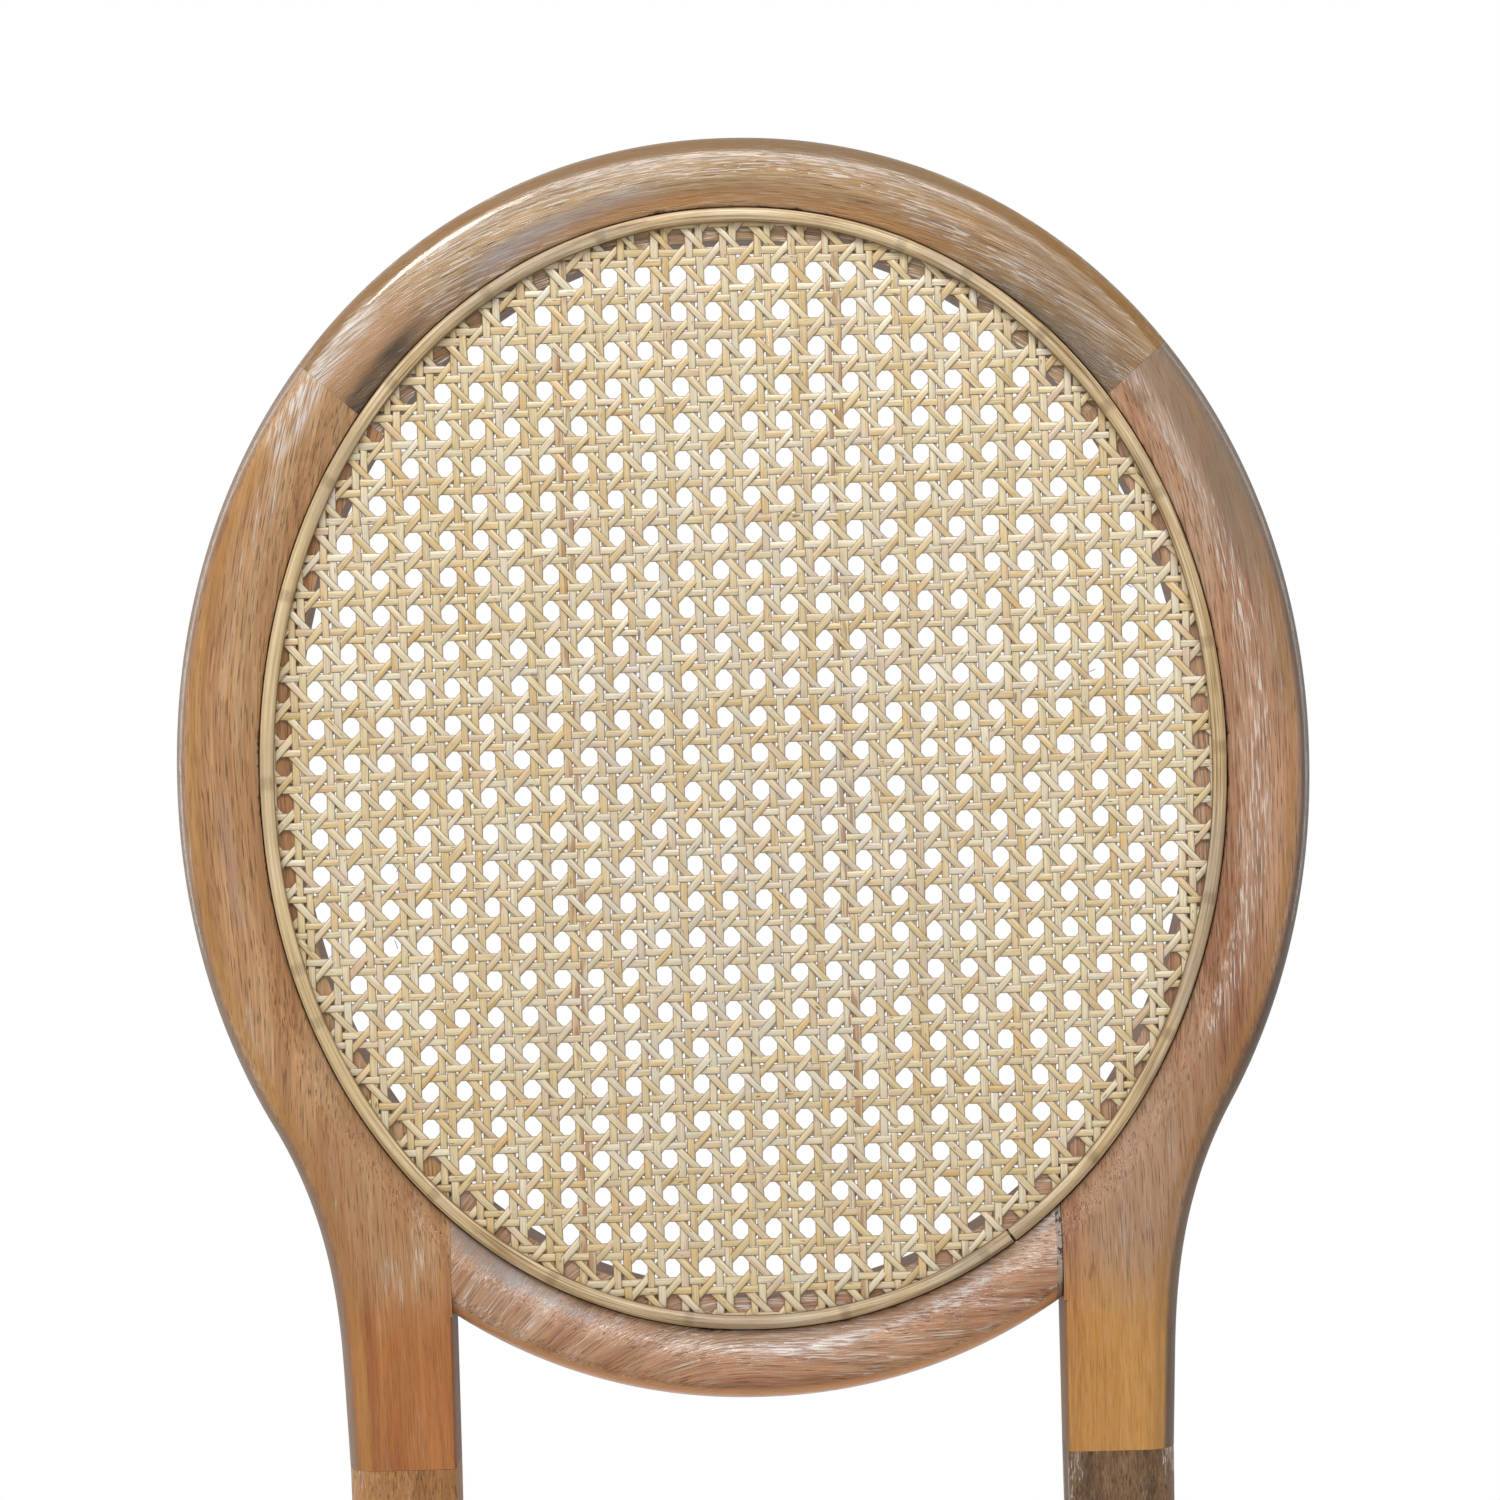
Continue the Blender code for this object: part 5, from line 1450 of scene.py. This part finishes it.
# Patches are (clock, spread, from and to in mm outside the spline, strength, tone). On the crest the white
# patch on the ridge near the left joint is a scuff with a painted highlight on it, and the broad darker band
# along the top edge is painted shade.
crest_patches = ((319, 10, 1.0, 20, 0.95, (200, 152, 110)), (315.5, 13, 0.3, 8.5, 1.0, (84, 72, 56)),
                 (343, 12, 4.5, 10, 0.75, lilac), (315, 10, 18, 25, 1.0, (240, 234, 228)),
                 (37, 13, 0, 5, 0.7, soot), (41, 6, 4, 9, 0.6, grey_smear),
                 (2, 28, 1, 6.5, 0.75, (198, 136, 66)), (36, 10, 9, 18, 0.4, chalk_and_sheen),
                 (42, 14, 0, 15, 0.45, (128, 104, 72)), (10, 42, 17, 24.5, 0.9, (138, 110, 80)))
# On the lower rail the pale and white streaks just outside the spline, and the pale grey one at 202, are
# painted highlights of the varnish along the hollow, partly chalk left in the grain.
rail_patches = ((180, 60, 0.5, 5.5, 0.5, (152, 122, 92)), (172, 24, 5.6, 7.0, 1.0, chalk_and_sheen),
                (175, 7, 5.5, 8.5, 1.0, (240, 236, 232)), (159, 4.5, 4.5, 7.5, 1.0, chalk_and_sheen),
                (145, 6, 2.0, 6, 1.0, chalk_and_sheen), (210, 6, 0.5, 8, 0.9, (160, 144, 134)),
                (202, 7, 4, 7, 0.7, (188, 184, 186)), (138, 9, 1, 10, 0.4, (190, 150, 122)))
# On the left stile the white patch on the ridge is a scuff with a painted highlight on it.
left_patches = ((311, 7, 17, 26, 1.0, (234, 226, 218)), (262, 10, 11, 16, 0.3, (198, 186, 180)),
                (225, 11, 0, 60, 0.4, (154, 100, 58)))
right_patches = ((54, 20, 15, 32, 0.85, (142, 122, 104)), (54, 18, 9, 16, 0.3, (168, 152, 140)),
                 (70, 20, 18, 30, 0.4, (138, 118, 96)), (133, 16, 0, 60, 0.45, (152, 112, 78)))


def filled_joint(spot, colour):
    """Grey filler in the joint at the right end of the rail, with a dark crack beside it."""
    strip = remap(spot[0], stile_inner - 0.0026, stile_inner - 0.0020)
    dots = remap(noise(spot, (900, 500, 900), 1.0), 0.42, 0.36)
    crack = remap(spot[0], stile_inner - 0.0005, stile_inner - 0.0003)
    colour = tinted(colour, times(strip, 0.8), 166, 150, 138)
    colour = tinted(colour, times(strip, dots), 70, 56, 46)
    return tinted(colour, crack, 60, 44, 34)


# Rim tints are given as (from and to of the outward turn, softness, strength, tone). They are partly thin stain
# and wear on the round edges and partly painted light: the pale band under the crest's ridge is a painted
# sheen, the darker ochre on the crest's top edge is painted shade under the high lamp, the grey-taupe band on
# the left stile is partly a painted reflection, and the warm band under the lower rail is painted light on an
# edge that faces down.
crest_tones = ((146, 104, 58), (189, 147, 98), (212, 178, 134))
finish_with(limed_wood("crest_wood", "X", crest_tones, 0.7, bow=2.6, ring=True, patches=crest_patches,
                       hollow_shade=0.3, polished=(325, 18),
                       rim=((0.10, 0.40, 0.06, 0.15, (230, 214, 196)), (0.50, 0.92, 0.07, 0.85, (146, 104, 46)),
                            (0.95, 1.2, 0.03, 0.6, (112, 94, 80)))), crest)
left_tones = ((162, 104, 60), (205, 154, 104), (218, 180, 136))
finish_with(limed_wood("left_stile_wood", "Y", left_tones, 0.2, bow=-1.2, bow_side=1, ring=True, tilt=0.03,
                       patches=left_patches, post=((166, 94, 44), (204, 134, 72)),
                       rim=((0.14, 0.56, 0.10, 0.5, (202, 148, 76)), (0.66, 1.3, 0.10, 0.9, (150, 122, 98)))),
            stiles["left"])
right_tones = ((160, 104, 68), (202, 152, 114), (214, 176, 144))
finish_with(limed_wood("right_stile_wood", "Y", right_tones, 0.45, bow=1.2, bow_side=1, ring=True,
                       lime_zone=right_face_zone, hollow_shade=0.0, patches=right_patches,
                       post=((190, 124, 54), (218, 160, 84)),
                       rim=((0.16, 0.44, 0.13, 0.6, (188, 138, 78)), (0.58, 1.3, 0.12, 0.9, (98, 80, 66)))),
            stiles["right"])
rail_tones = ((163, 109, 74), (204, 153, 116), (219, 184, 155))
finish_with(limed_wood("lower_rail_wood", "X", rail_tones, 0.5, bow=6.0, bow_side=-1, ring=True,
                       patches=rail_patches, hollow_shade=0.0, polished=(0, 10), added=filled_joint,
                       rim=((0.60, 1.3, 0.10, 0.9, (238, 172, 116)),)), lower_rail)
print("wood of the back finished")

# %% Legs and seat rails
rail_wood_tones = ((144, 98, 62), (178, 132, 92), (198, 160, 124))
front_tones = ((140, 96, 60), (176, 130, 90), (196, 160, 124))
front_legs = [bpy.data.objects["front_leg_turned_" + side] for side in ("left", "right")]
for name, along, tones, limed, face_axis, pieces in (
        ("left_leg_wood", "Z", ((146, 98, 50), (190, 134, 78), (206, 158, 100)), 0.15, 1,
         [rear_legs["left"]]),
        ("right_leg_wood", "Z", ((88, 62, 38), (124, 92, 60), (150, 114, 76)), 0.3, 1,
         [rear_legs["right"]]),
        ("front_leg_wood", "Z", front_tones, 0.4, 1, front_legs),
        ("seat_rail_wood", "X", rail_wood_tones, 0.45, 1, seat_rails[2:]),
        ("side_rail_wood", "Y", rail_wood_tones, 0.45, 0, seat_rails[:2])):
    finish_with(limed_wood(name, along, tones, limed, face_axis=face_axis), *pieces)
print("legs and rails finished")

# %% [markdown]
# ## Cane and reed
# Cane is the glossy bark of rattan, split into ribbons. Each ribbon has its own straw tone, fine
# lines along it and a few brown flecks, so its colour is driven by the values stored on it: how far
# along, how far across, and a tone of its own. The spline is the dull core of the same plant, with
# coarser lines and a darker ring at each leaf scar.

# %% Cane
def strand_values(tree):
    return node(tree, "SeparateXYZ", inputs={
        0: node(tree, "Attribute", attribute_name="strand").outputs["Vector"]}).outputs


def cane_finish(name, stained=()):
    """Bark of rattan; stained holds the places across the panel where some uprights are brown."""
    material, tree, shader = new_material(name)
    along, across, own = on_strand = strand_values(tree)
    spot = own_place(tree)
    slow = noise(on_strand, (38, 0.5, 90), 2.0)
    lines = noise(on_strand, (60, 4.2, 70), 2.0, 0.6)
    shade = total((own, 0.5), (slow, 1.0), (1.0, -0.25))
    colour = ramp(shade, ((0.12, (222, 190, 134)), (0.38, (238, 214, 162)), (0.62, (244, 228, 190)),
                          (0.9, (250, 240, 216))))
    warm = noise(on_strand, (42, 0.2, 45), 1.0)
    colour = tinted(colour, remap(warm, 0.52, 0.66, 0, 0.6), 240, 198, 134)
    pink = noise((own, along, across), (60, 30, 0.3), 1.0)
    colour = tinted(colour, remap(pink, 0.54, 0.66, 0, 0.5), 232, 204, 184)
    colour = shaded(colour, remap(lines, 0.3, 0.7, 0.80, 1.16, smooth=False))
    middle = over_vector("LENGTH", scaled((spot[0], total((spot[1], 1), (1.0, 0.02))), (1, 0.6)))
    patchy = noise(on_strand, (55, 0.3, 60), 2.0)
    worn = times(remap(middle, 0.13, 0.03, 0.25, 1.0), remap(patchy, 0.46, 0.64, 0.1, 0.75))
    colour = tinted(colour, worn, 226, 218, 204)
    # Painted shade: each ribbon darkens where it dives under the others in the weave.
    sunk = node(tree, "Attribute", attribute_name="sunk").outputs["Fac"]
    colour = tinted(colour, remap(sunk, 0.5, 1.0, 0, 0.35), 168, 138, 96)
    # Partly painted shade: a dark line along each ribbon's edges stands for the contact shadow beside it, and
    # partly for the darker edge of the bark.
    edge = absolute(across)
    colour = tinted(colour, remap(edge, 0.70, 0.96, 0, 0.85), 118, 90, 56)
    fleck = noise(on_strand, (210, 1.3, 130), 1.0)
    colour = tinted(colour, remap(fleck, 0.70, 0.78, 0, 0.75), 132, 92, 56)
    for column in stained:
        near = remap(absolute(math_node("SUBTRACT", spot[0], column)), 0.0030, 0.0018)
        run = remap(noise(on_strand, (55, 0.6, 20), 2.0), 0.46, 0.6, 0, 0.65)
        colour = tinted(colour, times(near, run), 168, 112, 74)
    finish_shader(tree, shader, colour, remap(lines, 0.3, 0.7, 0.26, 0.42),
                  total((lines, 0.6), (slow, 0.4)), 0.5, 0.0002)
    return material


finish_with(cane_finish("cane_straw_stained", (-0.0609, -0.0185, 0.0365)), *cane_pieces[:2])
finish_with(cane_finish("cane_straw"), *cane_pieces[2:])
material, tree, shader = new_material("dark_bark")
bark = noise(own_place(tree), (900, 900, 900), 2.0)
for socket, value in (("Roughness", remap(bark, 0.3, 0.7, 0.5, 0.7)),
                      ("Base Color", blend_colour(remap(bark, 0.35, 0.65), tone(58, 46, 34),
                                                  tone(104, 82, 58)))):
    tree.links.new(value, shader.inputs[socket])
finish_with(material, cane_hairs)
print("cane finished")

# %% Reed
material, tree, shader = new_material("reed_core")
_, about, swell = on_reed = strand_values(tree)
spot = own_place(tree)
lines = noise(on_reed, (16, 17, 0), 3.0, 0.65)
fine = noise(on_reed, (110, 90, 0), 2.0)
slow = noise(on_reed, (30, 1.2, 0), 2.0)
colour = ramp(total((lines, 1.3), (slow, 0.4), (1.0, -0.36)),
              ((0.26, (126, 96, 60)), (0.40, (198, 166, 118)), (0.54, (226, 198, 152)),
               (0.70, (248, 234, 206))))
grey_part = remap(noise(spot, (16, 16, 16), 2.0), 0.48, 0.66, 0, 0.5)
# Painted shade: the reed is darker on its flanks, where its round sides turn away from the light.
flank = absolute(math_node("SUBTRACT", about, 0.25))
scar = times(remap(swell, 0.25, 0.9), remap(fine, 0.35, 0.6, 0.1, 0.5))
for share, laid_over in ((grey_part, (168, 152, 132)),
                         (remap(fine, 0.36, 0.28, 0, 0.6), (84, 62, 38)),
                         (remap(spot[0], -0.10, -0.16, 0, 0.5), (244, 216, 166)),
                         (remap(spot[1], -0.17, -0.21, 0, 0.5), (172, 150, 128)),
                         (remap(flank, 0.15, 0.22, 0, 0.8), (98, 72, 42)),
                         (scar, (120, 96, 66))):
    colour = tinted(colour, share, *laid_over)
finish_shader(tree, shader, colour, remap(fine, 0.3, 0.7, 0.36, 0.52),
              total((lines, 0.7), (fine, 0.4), (swell, 0.25)), 0.8, 0.0004)
finish_with(material, reed)
print("reed finished")

# %% [markdown]
# ## Cloth, and what is under the seat
# Linen is a plain weave of uneven yarns. Two crossed sets of fine waves make the yarns, and noise
# stretched along each set makes the thick and thin places. The side of the pad needs the same cloth
# on its own two axes, so the weave is worked out on three planes and each is used where the surface
# faces it.

# %% Linen
def woven_cloth(name, yarn, light, dark, rough, depth=0.0002):
    """Plain weave of yarns that are as far apart as yarn says."""
    material, tree, shader = new_material(name)
    spot = own_place(tree)
    normal = own_place(tree, "Normal")
    height, slubs = None, None
    for first, second, third in ((0, 1, 2), (1, 2, 0), (0, 2, 1)):
        weight = remap(absolute(normal[third]), 0.55, 0.75)
        over = times(*[math_node("SINE", times(spot[axis], 2 * math.pi / yarn))
                       for axis in (first, second)])
        plane = (spot[first], spot[second], spot[third])
        uneven = math_node("MAXIMUM", noise(plane, (45, 1500, 45), 2.0),
                           noise(plane, (1500, 45, 45), 2.0))
        part = times(total((over, 0.35), (uneven, 0.9)), weight)
        height = part if height is None else math_node("ADD", height, part)
        part = times(uneven, weight)
        slubs = part if slubs is None else math_node("ADD", slubs, part)
    cloud = noise(spot, (14, 14, 14), 2.0)
    shade = total((slubs, 0.9), (cloud, 0.35), (height, 0.25), (1.0, -0.42))
    finish_shader(tree, shader, blend_colour(remap(shade, 0.1, 0.75), dark, light),
                  remap(slubs, 0.3, 0.8, rough, rough + 0.1), height, 0.7, depth)
    shader.inputs["Sheen Weight"].default_value = 0.2
    shader.inputs["Sheen Roughness"].default_value = 0.5
    return material


finish_with(woven_cloth("seat_linen", 0.0011, tone(214, 204, 184), tone(176, 162, 138), 0.8), pad)
finish_with(woven_cloth("black_cambric", 0.0006, tone(40, 40, 42), tone(22, 22, 23), 0.82, 0.0001),
            cambric)
material, tree, shader = new_material("piping_linen")
along, about, _ = strand_values(tree)
yarns = times(*[math_node("SINE", total((along, 2 * math.pi / 0.0016),
                                        (about, turns * math.pi))) for turns in (12, -12)])
fuzz = noise((along, about, about), (420, 6, 6), 2.0)
colour = blend_colour(remap(total((yarns, 0.3), (fuzz, 0.9)), 0.15, 0.85),
                      tone(168, 154, 130), tone(208, 197, 176))
finish_shader(tree, shader, colour, remap(fuzz, 0.3, 0.7, 0.76, 0.88),
              total((yarns, 0.5), (fuzz, 0.5)), 0.7)
finish_with(material, piping)
print("cloth finished")

# %% Deck, blocks, dowels, screws and glides
def sawn_wood(name, along, dark, light, saw_marks=0.0):
    """Bare wood: broad stripes, fine fibres and, where wanted, the marks of the saw."""
    material, tree, shader = new_material(name)
    grain = grain_frame(own_place(tree), along)
    stripe = noise(grain, (10, 210, 210), 3.0)
    fibre = noise(grain, (60, 1700, 1700), 2.0)
    marks = math_node("SINE", total((grain[0], 2600), (stripe, 9)))
    shade = total((stripe, 0.8), (fibre, 0.5), (marks, saw_marks), (1.0, -0.15))
    colour = blend_colour(remap(shade, 0.2, 0.8), dark, light)
    finish_shader(tree, shader, colour, remap(fibre, 0.3, 0.7, 0.55, 0.72), shade)
    return material


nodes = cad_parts
beech = sawn_wood("beech_dowel", "X", tone(186, 146, 104), tone(214, 178, 138))
finish_with(beech, *[nodes[name] for name in nodes if "dowel" in name])
block_wood = sawn_wood("block_wood", "X", tone(176, 138, 94), tone(212, 180, 136), 0.12)
finish_with(block_wood, *[nodes[name] for name in nodes if name.startswith("corner_block")])

material, tree, shader = new_material("plywood")
spot = own_place(tree)
plies = remap(math_node("SINE", times(spot[2], 2 * math.pi / 0.0048)), -0.25, 0.25)
face_grain = noise(spot, (9, 150, 300), 3.0)
cross_grain = noise(spot, (300, 900, 300), 2.0)
edge_colour = blend_colour(plies, tone(150, 108, 66), tone(206, 168, 118))
face_colour = blend_colour(remap(face_grain, 0.32, 0.68), tone(184, 142, 92), tone(216, 180, 132))
on_face = remap(absolute(own_place(tree, "Normal")[2]), 0.5, 0.8)
finish_shader(tree, shader, blend_colour(on_face, edge_colour, face_colour),
              remap(cross_grain, 0.3, 0.7, 0.58, 0.75),
              total((face_grain, 0.6), (cross_grain, 0.4)), 0.4)
finish_with(material, nodes["seat_deck"])

glides = [bpy.data.objects[f"glide_{end}_{side}"] for end in ("front", "rear") for side in ("left", "right")]
# Small parts: grain of the surface and of its spots, the spots' span and tones, gloss, relief, metal.
for name, grain, spots, span_of_spots, dark, light, gloss_span, depth, metal, pieces in (
        ("plated_steel", (900, 900, 900), ((240, 240, 240), 2.0, 0.55), (0.35, 0.65),
         tone(168, 164, 152), tone(206, 203, 192), (0.3, 0.7, 0.28, 0.46), 0.0001, 1.0, screws),
        ("glide_nylon", (1500, 1500, 1500), ((220, 220, 900), 3.0, 0.65), (0.5, 0.72),
         tone(58, 52, 46), tone(96, 88, 80), (0.4, 0.7, 0.42, 0.65), 0.0002, 0.0, glides)):
    material, tree, shader = new_material(name)
    spot = own_place(tree)
    spotted = noise(spot, *spots)
    colour = blend_colour(remap(spotted, *span_of_spots), dark, light)
    finish_shader(tree, shader, colour, remap(spotted, *gloss_span), noise(spot, grain, 2.0),
                  0.3, depth)
    shader.inputs["Metallic"].default_value = metal
    finish_with(material, *pieces)
print("everything under the seat finished")
